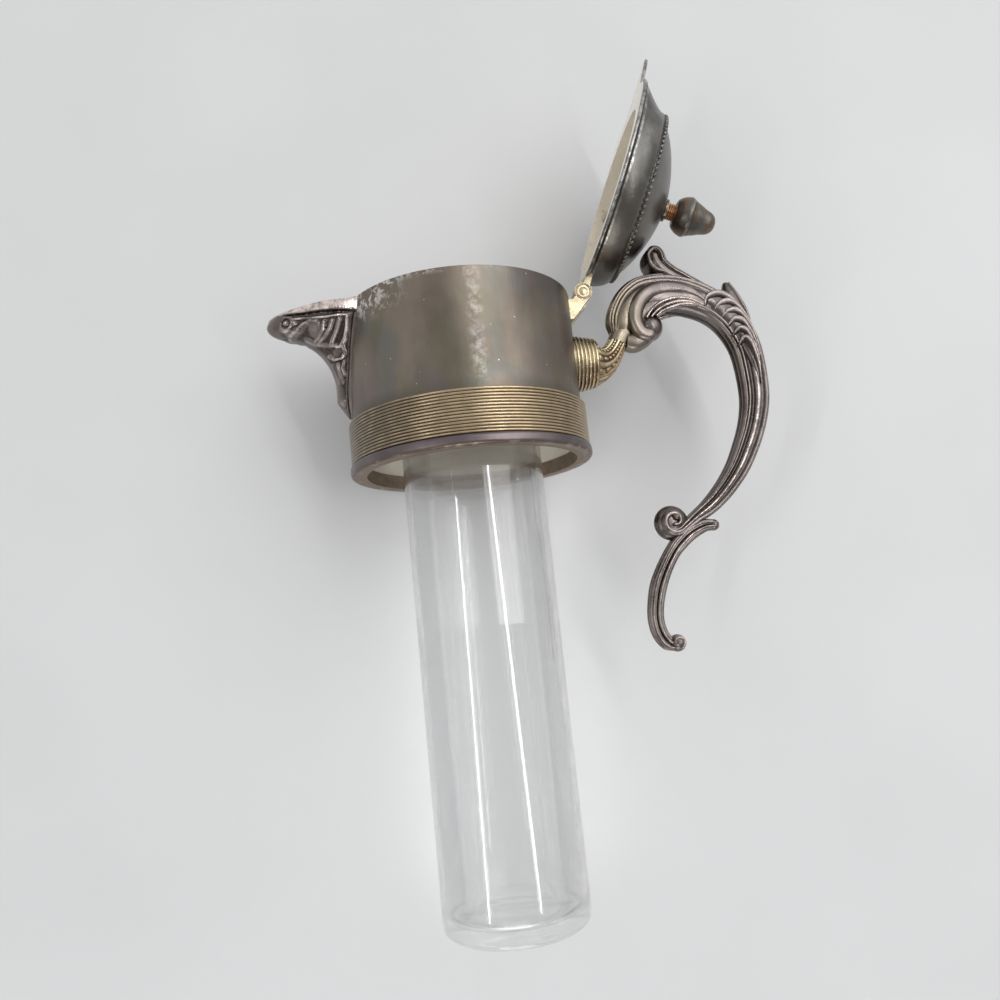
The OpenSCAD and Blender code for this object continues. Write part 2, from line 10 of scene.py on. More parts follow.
import bmesh
import bpy
import numpy as np
from bpy.props import FloatProperty, FloatVectorProperty, IntProperty, PointerProperty
from mathutils import Matrix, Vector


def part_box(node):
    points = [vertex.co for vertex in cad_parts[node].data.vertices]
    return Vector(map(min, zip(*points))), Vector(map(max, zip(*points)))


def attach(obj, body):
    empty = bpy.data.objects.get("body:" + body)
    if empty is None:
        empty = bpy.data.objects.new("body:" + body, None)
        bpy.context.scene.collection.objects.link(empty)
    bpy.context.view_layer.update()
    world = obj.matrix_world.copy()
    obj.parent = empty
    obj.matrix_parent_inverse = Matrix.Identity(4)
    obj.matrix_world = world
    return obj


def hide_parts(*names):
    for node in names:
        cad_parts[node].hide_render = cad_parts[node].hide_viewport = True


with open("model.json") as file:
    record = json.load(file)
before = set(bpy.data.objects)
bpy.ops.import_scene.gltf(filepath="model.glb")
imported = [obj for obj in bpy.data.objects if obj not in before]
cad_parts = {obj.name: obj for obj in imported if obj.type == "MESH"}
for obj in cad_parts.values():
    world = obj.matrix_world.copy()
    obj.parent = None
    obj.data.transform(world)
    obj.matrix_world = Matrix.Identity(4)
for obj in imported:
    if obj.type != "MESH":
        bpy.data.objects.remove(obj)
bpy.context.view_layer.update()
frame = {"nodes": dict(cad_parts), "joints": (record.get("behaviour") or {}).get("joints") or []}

bl_info = {
    "name": "Claret Jug Mount",
    "version": (1, 0, 0),
    "blender": (4, 5, 0),
    "location": "View3D > Sidebar > Jug Mount",
    "description": "Builds the fine shapes and finishes of a claret jug mount",
    "category": "Object",
}


def cad_corner(node, high, axis):
    """One coordinate of a solid's box in millimetres."""
    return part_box(node)[high][axis] * 1000


def joint_named(name):
    """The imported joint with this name."""
    return next(joint for joint in frame["joints"] if joint["name"] == name)


MM = 0.001

# Points nearer than this are merged, and edges shorter than this are taken out, in metres.
SEAM_GAP = 2e-6
SHORTEST_EDGE = 1e-7
SHARP_ANGLE = math.radians(50)

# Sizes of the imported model, in millimetres.
COLLAR_R = cad_corner("collar_drum", 1, 0)
COLLAR_TOP = cad_corner("collar_drum", 1, 2)
LIP_H = cad_corner("base_lip", 1, 2)
BAND_TOP = cad_corner("reeded_band", 1, 2)
SPOUT_REACH = -cad_corner("spout", 0, 0)
SPOUT_FOOT = cad_corner("spout", 0, 2)
TUBE_TOP = cad_corner("ice_tube", 1, 2)
TUBE_BOTTOM = cad_corner("ice_tube", 0, 2)
HINGE_X, _, HINGE_Z = (1000 * v for v in joint_named("lid_hinge")["pos_m"])
LID_OPEN = math.radians(joint_named("lid_hinge")["range_deg"][1])

# Handle root: where the ferrule ends, and the height of its middle line.
ROOT_X = COLLAR_R + 7.4
ROOT_Z = COLLAR_TOP - 22.4

# Ice tube: outer radius, wall, and the radius and thickness of its turned-out rim.
TUBE_R = 24.2
TUBE_WALL = 2.2
TUBE_RIM_R = TUBE_R + 3.6
TUBE_RIM_H = 2.6

# Closed lid: its axis is LID_BACK from the collar's towards the hinge, and its heights start at LID_Z.
LID_BACK = 1.3
LID_Z = COLLAR_TOP + 2.2
LID_R = 35.6
TONGUE = 9  # what the edge reaches further at the tip
PRONG_REACH = 57.5  # from the collar's axis
SHELL_R = 29.6  # the hollow under the lower tier
TIER_R = 31.2  # top of the lower tier
TIER_H = 10.4
DOME_R = TIER_R - 1.8
DOME_H = 22.0
KNOB_FOOT = DOME_H + 4.1


# ---- curves and grids ----


def spline(rows, steps):
    """Smooth curve through rows a, b, c, d: half of 2b + (c-a)t + (2a-5b+4c-d)tt + (3b-a-3c+d)ttt."""
    rows = np.asarray(rows, float)
    last = len(rows) - 1
    span = np.repeat(np.arange(last), steps)
    t = np.tile(np.arange(steps) / steps, last)[:, None]
    a, b, c, d = (rows[np.clip(span + k, 0, last)] for k in (-1, 0, 1, 2))
    curve = 0.5 * (2 * b + (c - a) * t + (2 * a - 5 * b + 4 * c - d) * t**2 + (3 * b - a - 3 * c + d) * t**3)
    return np.vstack([curve, rows[-1]])


def soft_step(x, low, high):
    """0 below low, 1 above high, and 3tt - 2ttt between them."""
    t = np.clip((x - low) / (high - low), 0, 1)
    return t * t * (3 - 2 * t)


def round_top(t):
    """Half circle over -1 to 1: sqrt(1 - tt), and 0 outside."""
    return np.sqrt(np.clip(1 - t * t, 0, 1))


def hump(x, middle, width):
    """Bell curve: exp(-((x - middle) / width)^2)."""
    return np.exp(-((x - middle) / width) ** 2)


def signed_power(x, power):
    """|x| to a power, with the sign of x."""
    return np.sign(x) * np.abs(x) ** power


def angles(columns):
    """Angles round a full turn."""
    return np.arange(columns) * 2 * np.pi / columns


def run_along(line):
    """Distance of each point from the start of a line, along it."""
    return np.concatenate([[0], np.cumsum(np.linalg.norm(np.diff(line, axis=0), axis=1))])


def rings(columns, reach, level):
    """Grid of rings about Z: reach * cos, reach * sin, level."""
    turn = angles(columns)
    return np.stack(np.broadcast_arrays(reach * np.cos(turn), reach * np.sin(turn), level), -1)


def quads(rows, columns, round_rows=False):
    """Four-cornered faces of a grid of points, row by row, joined round its columns."""
    i, k = np.meshgrid(np.arange(rows if round_rows else rows - 1), np.arange(columns), indexing="ij")
    down, right = (i + 1) % rows, (k + 1) % columns
    corners = [i * columns + k, i * columns + right, down * columns + right, down * columns + k]
    return np.stack(corners, -1).reshape(-1, 4)


def grid_part(points, relief, round_rows=False, lined=()):
    """A grid of points, closed round its columns: points, faces, relief of each point, material of each face.

    Lined gives the rows of faces that take the piece's second material.
    """
    rows, columns = points.shape[:2]
    faces = quads(rows, columns, round_rows)
    slots = np.isin(np.arange(len(faces)) // columns, lined).astype(int)
    return points.reshape(-1, 3), faces, np.broadcast_to(relief, (rows, columns)).reshape(-1), slots


def closed_ends(points, relief):
    """A tube's grid with its two ends drawn in to a point, the mean of each end's ring."""
    first, last = (np.broadcast_to(points[row].mean(0), points[:1].shape) for row in (0, -1))
    relief = np.broadcast_to(relief, points.shape[:2])
    return np.concatenate([first, points, last]), np.concatenate([relief[:1], relief, relief[-1:]])


def make_piece(name, parts, materials, body, nodes):
    """One smooth mesh from several parts, merged at seams and poles, with its faces turned outwards."""
    counts = np.cumsum([0] + [len(part[0]) for part in parts])
    points = np.concatenate([part[0] for part in parts]) * MM
    faces = np.concatenate([part[1] + start for part, start in zip(parts, counts)])
    mesh = bpy.data.meshes.new(name)
    mesh.from_pydata(points.tolist(), [], faces.tolist())
    mesh.polygons.foreach_set("material_index", np.concatenate([part[3] for part in parts]))
    relief = np.concatenate([part[2] for part in parts]).astype(np.float32)
    mesh.attributes.new("relief", "FLOAT", "POINT").data.foreach_set("value", relief)
    shell = bmesh.new()
    shell.from_mesh(mesh)
    bmesh.ops.remove_doubles(shell, verts=shell.verts, dist=SEAM_GAP)
    bmesh.ops.dissolve_degenerate(shell, edges=shell.edges, dist=SHORTEST_EDGE)
    bmesh.ops.recalc_face_normals(shell, faces=shell.faces)
    shell.to_mesh(mesh)
    shell.free()
    mesh.shade_smooth()
    mesh.set_sharp_from_angle(angle=SHARP_ANGLE)
    for material in materials:
        mesh.materials.append(material)
    piece = bpy.data.objects.new(name, mesh)
    bpy.context.scene.collection.objects.link(piece)
    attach(piece, body)
    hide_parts(*nodes)


def turned(profile, columns, relief=0.5, closed=False, lined=()):
    """Surface of revolution about Z: each (radius, height) goes round as radius*cos, radius*sin, height."""
    reach, level = np.asarray(profile, float).T[:, :, None]
    relief = np.asarray(relief, float).reshape(-1, 1)
    return grid_part(rings(columns, reach, level), relief, closed, lined)


def moved(part, change):
    """A part with its points passed through a function of x, y, z arrays."""
    points = part[0]
    return np.stack(change(points[:, 0], points[:, 1], points[:, 2]), -1), *part[1:]


def opened(x, y, z):
    """From the closed lid's own axis to the open pose: dx cos + dz sin and dz cos - dx sin about the pin."""
    dx, dz = x + LID_BACK - HINGE_X, z + LID_Z - HINGE_Z
    cos, sin = math.cos(LID_OPEN), math.sin(LID_OPEN)
    return HINGE_X + dx * cos + dz * sin, y, HINGE_Z + dz * cos - dx * sin


def half_round(tip, before):
    """Rows past a bar's tip: each goes out by 0.45 thickness * sin a, and its section shrinks by cos a."""
    a = np.radians([25, 50, 72])[:, None]
    way = (tip[:2] - before[:2]) / np.linalg.norm(tip[:2] - before[:2])
    return np.hstack([tip[:2] + way * tip[2] * 0.45 * np.sin(a), tip[2:] * np.cos(a)])


def rounded(rows, start=True):
    """Rows of x, z, thickness, width with a half-round end added last, and first too where start is set."""
    parts = [half_round(rows[0], rows[1])[::-1]] if start else []
    return np.vstack([*parts, rows, half_round(rows[-1], rows[-2])])


def carried(line, out, side, relief):
    """Closed bar along a line of x, z: each point goes out along the line's normal, and sideways along Y."""
    way = np.gradient(line, axis=0)
    way /= np.linalg.norm(way, axis=1, keepdims=True)
    points = np.stack([line[:, None, 0] - way[:, None, 1] * out, side,
                       line[:, None, 1] + way[:, None, 0] * out], -1)
    return grid_part(*closed_ends(points, relief))


def swept(rows, columns, section, depth=0.0, middle=0.0):
    """Oval bar along rows of x, z, thickness, width; cos and sin to the power 0.8 give its section.

    Section is the bar's relief: one value, or a function of the share of the run and of q, which is 0 on the
    outer side and 1 on the inner side. The bar goes in along its normal by depth * (1 - relief), and by less
    where it is thin. Middle is its place on Y.
    """
    line, thick, wide = rows[:, :2], rows[:, None, 2], rows[:, None, 3]
    run = run_along(line)
    turn = angles(columns)
    q = np.minimum(turn, 2 * np.pi - turn) / np.pi
    cos, sin = np.cos(turn), np.sin(turn)
    out, side = signed_power(cos, 0.8) * thick / 2, signed_power(sin, 0.8) * wide / 2
    height = section(run[:, None] / run[-1], q[None, :]) if callable(section) else section
    height = np.broadcast_to(height, out.shape)
    n_out, n_side = cos / thick, sin / wide
    inset = depth * np.minimum(1, thick / (4 * max(depth, 0.01))) * (1 - height) / np.hypot(n_out, n_side)
    return carried(line, out - inset * n_out, side - inset * n_side + middle, height)


def lobes(q, edges, crowns):
    """Round ribs side by side: crown * sqrt(1 - tt), where t runs from -1 to 1 across each rib."""
    edges, crowns = np.asarray(edges), np.asarray(crowns)
    cell = np.clip(np.searchsorted(edges, q, side="right") - 1, 0, len(crowns) - 1)
    t = (2 * q - edges[cell] - edges[cell + 1]) / (edges[cell + 1] - edges[cell])
    return crowns[cell] * round_top(t)


def unit_ball(rows, columns):
    """Grid of a ball of radius 1: cos a cos b, cos a sin b, sin a."""
    a = np.linspace(-np.pi / 2, np.pi / 2, rows)[:, None]
    return rings(columns, np.cos(a), np.sin(a))


def ball(x, z, radii, relief):
    """Ball stretched along each axis: centre + radius * unit ball."""
    return grid_part((x, 0, z) + unit_ball(24, 32) * radii, relief)


def distance_to_line(x, z, line):
    """Shortest distance from each (x, z) to a chain of straight pieces a to b, at a + t (b - a)."""
    best = np.inf
    for (ax, az), (bx, bz) in zip(line[:-1], line[1:]):
        dx, dz = bx - ax, bz - az
        t = np.clip(((x - ax) * dx + (z - az) * dz) / (dx**2 + dz**2), 0, 1)
        best = np.minimum(best, np.hypot(x - ax - t * dx, z - az - t * dz))
    return best


# ---- finishes ----


class Wire:
    """A value in a finish. Python operators on it add the Math nodes that they stand for."""

    def __init__(self, finish, socket):
        self.finish, self.socket = finish, socket

    def math(self, operation, *others):
        """Result of a Math node on this value and the others."""
        node = self.finish.add("ShaderNodeMath", {"operation": operation}, dict(enumerate((self, *others))))
        return Wire(self.finish, node.outputs[0])

    def __add__(self, other):
        return self.math("ADD", other)

    __radd__ = __add__

    def __sub__(self, other):
        return self.math("SUBTRACT", other)

    def __rsub__(self, other):
        return (self * -1).math("ADD", other)

    def __mul__(self, other):
        return self.math("MULTIPLY", other)

    __rmul__ = __mul__

    def __truediv__(self, other):
        return self.math("DIVIDE", other)

    def __abs__(self):
        return self.math("ABSOLUTE")

    def step(self, low, high):
        """0 below low, 1 above high and smooth between them; the other way round where low is the larger."""
        if low > high:
            return 1 - self.step(high, low)
        node = self.finish.add("ShaderNodeMapRange", {"interpolation_type": "SMOOTHSTEP"},
                               {"Value": self, "From Min": low, "From Max": high})
        return Wire(self.finish, node.outputs[0])

    def at_most(self, limit):
        """The smaller of this and a limit."""
        return self.math("MINIMUM", limit)

    def at_least(self, other):
        """The larger of this and another value."""
        return self.math("MAXIMUM", other)


class Nodes:
    """An emptied tree of nodes that grows with expressions."""

    def __init__(self, tree):
        self.tree = tree
        self.tree.nodes.clear()

    def add(self, kind, settings=None, values=None):
        """A node of this type, with its settings made first and then its sockets set or linked."""
        node = self.tree.nodes.new(kind)
        for key, setting in (settings or {}).items():
            setattr(node, key, setting)
        for key, value in (values or {}).items():
            if isinstance(value, Wire):
                self.tree.links.new(value.socket, node.inputs[key])
            else:
                node.inputs[key].default_value = value
        return node


class Finish(Nodes):
    """A material's nodes."""

    def __init__(self, name):
        self.material = bpy.data.materials.new(name)
        self.material.use_nodes = True
        super().__init__(self.material.node_tree)
        self.place = Wire(self, self.add("ShaderNodeTexCoord").outputs["Object"])

    def axes(self):
        """The x, y and z of the surface point, in metres."""
        node = self.add("ShaderNodeSeparateXYZ", None, {0: self.place})
        return [Wire(self, socket) for socket in node.outputs]

    def stretched(self, scale, turn=(0, 0, 0)):
        """The surface point turned, and then scaled on each axis."""
        node = self.add("ShaderNodeMapping", None, {"Vector": self.place, "Scale": scale, "Rotation": turn})
        return Wire(self, node.outputs[0])

    def cloud(self, scale, detail=3.0, place=None, rough=0.5, swirl=0.0):
        """Smooth noise from 0 to 1; scale counts its lumps in a metre."""
        values = {"Vector": place or self.place, "Scale": scale, "Detail": detail, "Roughness": rough,
                  "Distortion": swirl}
        return Wire(self, self.add("ShaderNodeTexNoise", None, values).outputs[0])

    def cells(self, scale):
        """Distance to the nearest of scattered points, in shares of their spacing."""
        node = self.add("ShaderNodeTexVoronoi", None, {"Vector": self.place, "Scale": scale})
        return Wire(self, node.outputs["Distance"])

    def relief(self):
        """Height that the mesh keeps at each point: 0 in a groove and 1 on a ridge."""
        node = self.add("ShaderNodeAttribute", {"attribute_name": "relief"})
        return Wire(self, node.outputs["Fac"])

    def mixed(self, share, first, second):
        """First colour where share is 0, second where it is 1."""
        first, second = (c if isinstance(c, Wire) else (*c, 1) for c in (first, second))
        # Sockets 6 and 7 are the two colours, and output 2 is the mixed one.
        node = self.add("ShaderNodeMix", {"data_type": "RGBA"}, {0: share, 6: first, 7: second})
        return Wire(self, node.outputs[2])

    def toned(self, share, body, low, high):
        """A colour times low where share is 0, and times high where it is 1."""
        return self.mixed(share, scaled(body, low), scaled(body, high))

    def bumped(self, height, depth):
        """Normal of a surface raised by height * depth metres."""
        node = self.add("ShaderNodeBump", None, {"Height": height, "Distance": depth, "Strength": 1.0})
        return Wire(self, node.outputs[0])

    def surface(self, **values):
        """Ends the finish in one Principled surface with these sockets and gives back the material."""
        named = {key.replace("_", " "): value for key, value in values.items()}
        return self.end(self.add("ShaderNodeBsdfPrincipled", None, named))

    def blend(self, share, first, second):
        """Ends the finish in two mixed shaders, the first where share is 0, and gives back the material."""
        first, second = (Wire(self, shader.outputs[0]) for shader in (first, second))
        return self.end(self.add("ShaderNodeMixShader", None, {0: share, 1: first, 2: second}))

    def end(self, shader):
        """Links a shader to the output and gives back the material."""
        self.add("ShaderNodeOutputMaterial", None, {"Surface": Wire(self, shader.outputs[0])})
        return self.material


def colour(name):
    """A colour of the add-on's settings as three numbers."""
    return tuple(getattr(bpy.context.scene.jug_colours, name))


def scaled(rgb, share):
    """A colour made lighter or darker."""
    return tuple(min(1.0, v * share) for v in rgb)


def scroll_gilding(finish):
    """Share of brass on the scroll: its head next to the bell, fading out between x 57 and 70 mm."""
    x, _, z = finish.axes()
    return x.step(0.070, 0.057) * z.step(0.02, 0.03) * 0.6


def root_underside(finish):
    """Share of copper on the handle's root: its lower half, below a line that rises with X."""
    x, _, z = finish.axes()
    return (z - (x - ROOT_X * MM) * 0.7).step((ROOT_Z + 2) * MM, (ROOT_Z - 4) * MM) * 0.65


def lid_browning(finish):
    """Share of brown on the lid: its lower end as it stands open, and faint patches above it."""
    _, _, z = finish.axes()
    patches = finish.cloud(70, 3, swirl=0.5).step(0.5, 0.68)
    return (z.step(0.104, 0.07) * 0.6 + patches * 0.25).at_most(0.7)


def knob_stains(finish):
    """Share of brown on the knob: loose patches."""
    return finish.cloud(190, 3, swirl=1.0).step(0.5, 0.62) * 0.7


def worked_metal(name, tone, deep=0.3, bright=3.0, rough=0.3, edge=0.72, tint=None):
    """Metal with a raised pattern: dark in its grooves, bright on its ridges from wear and a painted
    highlight, clouded between.

    Tint gives a second colour and the function for its share.
    """
    finish = Finish(name)
    body = colour(tone)
    height = finish.relief() + (finish.cloud(700, 4) - 0.5) * 0.3
    patch = finish.cloud(90, 4, swirl=0.6)
    # Mask of the lightened ridges: partly plate worn through, partly a painted highlight on the crests.
    brightened = height.step(edge, 1.02) * finish.cloud(230, 5, rough=0.65).step(0.36, 0.62)
    shade = finish.toned(patch.step(0.35, 0.7), body, 0.8, 1.3)
    shade = finish.mixed(height.step(0.6, 0.08), shade, scaled(body, deep))
    shade = finish.mixed(brightened, shade, scaled(body, bright))
    if tint:
        second, share = tint
        shade = finish.mixed(share(finish) * (1 - brightened * 0.6), shade, second)
    scuff = finish.cloud(900, 5, finish.stretched((1, 1, 0.25)))
    return finish.surface(Base_Color=shade, Metallic=1.0,
                          Roughness=patch * 0.16 + scuff * 0.12 + rough - 0.1 - brightened * 0.06,
                          Normal=finish.bumped(scuff + patch * 3, 0.00006))


def drum_finish():
    """Tarnished collar plate: blue, plum and olive clouds, with bright wear by the spout and a painted
    highlight streak down the front.
    """
    finish = Finish("collar_plate")
    x, y, z = finish.axes()
    body = colour("plate")
    slow = finish.stretched((1, 1, 0.6))
    aslant = finish.stretched((1, 1, 0.7), (0, 0, 2))
    steep = finish.stretched((1, 1, 0.5), (1, 0, 1))
    shade = finish.toned(finish.cloud(48, 4, slow).step(0.35, 0.65), body, 0.82, 1.32)
    clouds = ((finish.cloud(62, 3, slow, swirl=0.8).step(0.5, 0.68) * 0.36, "tarnish_blue"),
              (finish.cloud(41, 3, aslant).step(0.5, 0.68) * 0.45, "tarnish_plum"),
              (finish.cloud(75, 3, steep).step(0.5, 0.66) * 0.5, "tarnish_olive"))
    for share, tone in clouds:
        shade = finish.mixed(share, shade, colour(tone))
    near_foot = z.step(BAND_TOP * MM + 0.005, BAND_TOP * MM)
    shade = finish.mixed(near_foot * 0.4, shade, scaled(body, 0.55))
    chips = finish.cloud(420, 6, rough=0.72, swirl=0.5)
    top = COLLAR_TOP * MM
    by_spout = x.step(-0.016, -0.032) * z.step(top - 0.0118, top - 0.0038)
    rim = z.step(top - 0.0023, top - 0.0002)
    # Painted highlight: a narrow, patchy streak of bare silver down the front, where a lamp's reflection
    # lies.
    front = abs(x - 0.002).step(0.0038, 0.0004) * y.step(-0.02, -0.03)
    front = front * finish.cloud(130, 3).step(0.42, 0.58) * 0.34
    brightened = chips.step(0.5, 0.58) * (by_spout + rim * 0.5 * x.step(0.02, -0.02)).at_most(1.0)
    brightened = brightened.at_least(chips.step(0.40, 0.66) * front)
    specks = finish.cells(230).step(0.06, 0.035) * 0.8
    # Worn spots, the front's painted highlight streak and the specks all take the bare silver colour.
    for share in (brightened, specks):
        shade = finish.mixed(share, shade, colour("silver_wear_and_highlight"))
    hair = finish.cloud(1500, 3, finish.stretched((1, 1, 0.03), (0.3, 0.2, 0)))
    cloudy = finish.cloud(120, 4)
    return finish.surface(Base_Color=shade, Metallic=1.0,
                          Roughness=cloudy * 0.14 + hair * 0.1 + brightened * 0.12 + 0.29,
                          Normal=finish.bumped(hair * 0.5 + cloudy * 4, 0.00005))


def reeded_finish():
    """Golden tan reeds, greyer on the left: each rises as 1 - 2 |place - 0.5|, with place from 0 to 1."""
    finish = Finish("reed_plate")
    x, _, z = finish.axes()
    pitch = (BAND_TOP - LIP_H) / 14 * MM
    place = ((z - LIP_H * MM) / pitch).math("FRACT")
    ridge = 1 - abs(place - 0.5) * 2
    body = colour("tan")
    shade = finish.toned(finish.cloud(70, 4, finish.stretched((1, 1, 0.6))).step(0.35, 0.7), body, 0.8, 1.25)
    left = x.step(-0.010, -0.036)
    shade = finish.mixed(left * 0.75, shade, scaled(colour("plate"), 1.15))
    shade = finish.mixed(ridge.step(0.5, 0.05) * 0.7, shade, scaled(body, 0.34))
    brightened = ridge.step(0.7, 1.0) * finish.cloud(260, 4).step(0.45, 0.65)
    shade = finish.mixed(brightened * 0.6, shade, scaled(body, 2.1))
    nicks = finish.cloud(800, 4, finish.stretched((1, 1, 0.2)))
    return finish.surface(Base_Color=shade, Metallic=1.0, Roughness=nicks * 0.2 + 0.22,
                          Normal=finish.bumped(nicks, 0.00006))


def lip_finish():
    """Purple grey plate of the lip, with brown stains under it and brass showing through."""
    finish = Finish("lip_plate")
    _, _, z = finish.axes()
    body = colour("tarnish_plum")
    shade = finish.toned(finish.cloud(60, 3).step(0.35, 0.7), body, 0.85, 1.35)
    low_edge = z.step(0.0008, 0.0002)
    shade = finish.mixed(low_edge * 0.7, shade, scaled(colour("stain"), 0.8))
    brightened = low_edge * finish.cloud(260, 5).step(0.52, 0.66)
    shade = finish.mixed(brightened * 0.5, shade, scaled(colour("brass"), 0.9))
    scuff = finish.cloud(700, 4)
    return finish.surface(Base_Color=shade, Metallic=1.0, Roughness=scuff * 0.18 + 0.28,
                          Normal=finish.bumped(scuff, 0.00005))


def gilt_finish(name):
    """Thin pale gilding inside the collar and under the lid, with brown stains and wiping marks."""
    finish = Finish(name)
    shade = finish.toned(finish.cloud(45, 4, swirl=0.7).step(0.4, 0.75), colour("gilt"), 1, 0.82)
    stain = finish.cloud(110, 5, rough=0.7).step(0.6, 0.75)
    shade = finish.mixed(stain * 0.7, shade, colour("stain"))
    wipe = finish.cloud(420, 4, finish.stretched((1, 1, 0.4), (0.2, 0.1, 0)))
    return finish.surface(Base_Color=shade, Metallic=0.2, Roughness=wipe * 0.16 + 0.14,
                          Normal=finish.bumped(wipe, 0.00002))


def plain_metal(name, tone, rough, stain=0.5):
    """Turned or pressed metal: clouded colour, darker stains and a fine grain."""
    finish = Finish(name)
    body = colour(tone)
    shade = finish.toned(finish.cloud(150, 4, swirl=0.4).step(0.35, 0.7), body, 0.75, 1.2)
    shade = finish.mixed(finish.cloud(320, 5).step(0.58, 0.74) * stain, shade, scaled(body, 0.3))
    fine = finish.cloud(600, 5)
    return finish.surface(Base_Color=shade, Metallic=1.0, Roughness=fine * 0.2 + rough - 0.1,
                          Normal=finish.bumped(fine, 0.00005))


def soft_stuff(name, tone, rough, grain):
    """Cork or rubber: a matt, mottled colour."""
    finish = Finish(name)
    lump = finish.cloud(grain, 5, rough=0.6)
    shade = finish.toned(lump.step(0.3, 0.7), colour(tone), 0.7, 1)
    return finish.surface(Base_Color=shade, Roughness=rough, Normal=finish.bumped(lump, 0.0001))


def glass_finish():
    """Clear blown glass, faintly uneven, with a film of dust; lamps shine through it almost unweakened."""
    finish = Finish("clear_glass")
    film = finish.cloud(60, 4, finish.stretched((1, 1, 0.3)))
    glass = finish.add("ShaderNodeBsdfPrincipled", None, {
        "Base Color": finish.mixed(film, (0.885, 0.888, 0.886), (0.850, 0.853, 0.851)), "Roughness": 0.0,
        "Transmission Weight": 1.0, "IOR": 1.45, "Coat Weight": 0.7, "Coat Roughness": 0.0, "Coat IOR": 1.7,
        "Normal": finish.bumped(finish.cloud(28, 2), 0.00003)})
    clear = finish.add("ShaderNodeBsdfTransparent")
    shadow = Wire(finish, finish.add("ShaderNodeLightPath").outputs["Is Shadow Ray"])
    return finish.blend((film * 0.1 + 0.2).at_least(shadow * 0.97), glass, clear)


def dress(node, material):
    """Gives a solid of the model its finish."""
    solid = frame["nodes"][node]
    if not solid.material_slots:
        solid.data.materials.append(material)
    for held in solid.material_slots:
        held.material = material


# ---- settings ----


def length_setting(name, description, default, low, high):
    """A length that the user can change, with its default and limits in millimetres."""
    return FloatProperty(name=name, description=description, default=default * MM,
                         min=low * MM, max=high * MM, unit="LENGTH", subtype="DISTANCE")


def colour_setting(name, description, default):
    """A colour that the user can change."""
    return FloatVectorProperty(name=name, description=description, default=default, size=3, min=0, max=1,
                               subtype="COLOR")


class JugShapes(bpy.types.PropertyGroup):
    """Sizes of the fine shapes."""

    rib_depth: length_setting("Rib depth", "Depth of the grooves along the handle", 1.25, 0, 2)
    spout_relief: length_setting("Spout relief", "Depth of the pattern on the spout", 1.15, 0, 1.2)
    pearl_depth: length_setting("Pearl depth", "Height of the pearls and ribs on the bell", 0.75, 0, 1.2)
    bead_size: length_setting("Bead size", "Diameter of the beads round the dome", 1.7, 1, 2.2)
    bead_count: IntProperty(name="Beads", description="Number of beads round the dome",
                            default=88, min=40, max=110)
    thread_pitch: length_setting("Thread pitch", "Distance from crest to crest on the stud", 0.8, 0.4, 1.5)
    table_gap: length_setting("Table gap", "Distance of the table top behind the lip", 0.6, 0, 20)


class JugColours(bpy.types.PropertyGroup):
    """Colours of the finishes."""

    plate: colour_setting("Plate", "Tarnished silver plate", (0.180, 0.153, 0.124))
    lid: colour_setting("Lid", "Greyer plate of the lid", (0.170, 0.166, 0.157))
    cast: colour_setting("Cast plate", "Plate of the cast handle and spout", (0.200, 0.172, 0.160))
    tarnish_blue: colour_setting("Blue tarnish", "Blue green clouds on the collar", (0.115, 0.150, 0.155))
    tarnish_olive: colour_setting("Olive tarnish", "Olive clouds on the collar", (0.160, 0.150, 0.098))
    tarnish_plum: colour_setting("Plum tarnish", "Purple grey clouds and the lip", (0.165, 0.138, 0.142))
    # Bare silver of scratches and wear, and also of the painted highlight streak down the collar's front.
    silver_wear_and_highlight: colour_setting("Bare silver", "Scratches and worn edges", (0.720, 0.680, 0.640))
    tan: colour_setting("Reeds", "Golden tan of the reeded band", (0.420, 0.330, 0.215))
    gilt: colour_setting("Gilding", "Pale gilding inside", (0.880, 0.820, 0.710))
    brass: colour_setting("Brass", "Handle root and hinge", (0.470, 0.400, 0.270))
    copper: colour_setting("Copper", "Stud of the finial", (0.620, 0.360, 0.200))
    knob: colour_setting("Knob", "Dark plate of the finial", (0.150, 0.138, 0.124))
    steel: colour_setting("Steel", "Screw and washer of the handle", (0.450, 0.440, 0.420))
    stain: colour_setting("Stain", "Brown stains in the gilding", (0.180, 0.110, 0.060))
    seal: colour_setting("Seal", "Aged cork seal in the collar's mouth", (0.200, 0.145, 0.095))
    rubber: colour_setting("Gasket", "Soft ring under the tube's rim", (0.620, 0.610, 0.580))
    table: colour_setting("Table", "Pale table top", (0.672, 0.676, 0.682))


# ---- stage ----


CAMERA_TURN = (-0.150216, -0.113447, -0.08609)
CAMERA_SHIFT = (-9.458448, -10.470282, 297.036392)
CAMERA_FOCUS = 850.01
PHOTO_SIDE = 1000
LAMPS = [  # name, place, aim, width and height, power, tilt in degrees
    ("window_lamp", (0.62, -0.95, 0.42), (0, 0, 0), (1.0, 1.0), 4.4, 0),
    ("low_lamp", (-0.06, -0.2, -1.0), (0, 0, 0.02), (0.5, 0.5), 2.1, 0),
    ("right_tube", (0.375, -0.9, 0.005), (0, 0, 0), (0.028, 0.95), 1.7, 20),
    ("left_tube", (-0.79, -0.9, -0.17), (0, 0, 0), (0.028, 0.75), 1.45, -17),
]


def turning(axis, angle):
    """Rotation matrix about one axis."""
    a, b = [(1, 2), (2, 0), (0, 1)][axis]
    matrix = np.eye(3)
    matrix[a, a] = matrix[b, b] = math.cos(angle)
    matrix[b, a], matrix[a, b] = math.sin(angle), -math.sin(angle)
    return matrix


def set_up(name, data, axes, place):
    """A camera or lamp at a place, with these X, Y and Z axes."""
    matrix = np.eye(4)
    matrix[:3, :3] = np.stack(axes, 1)
    matrix[:3, 3] = place
    holder = bpy.data.objects.new(name, data)
    holder.matrix_world = Matrix(matrix.tolist())
    bpy.context.scene.collection.objects.link(holder)
    return holder


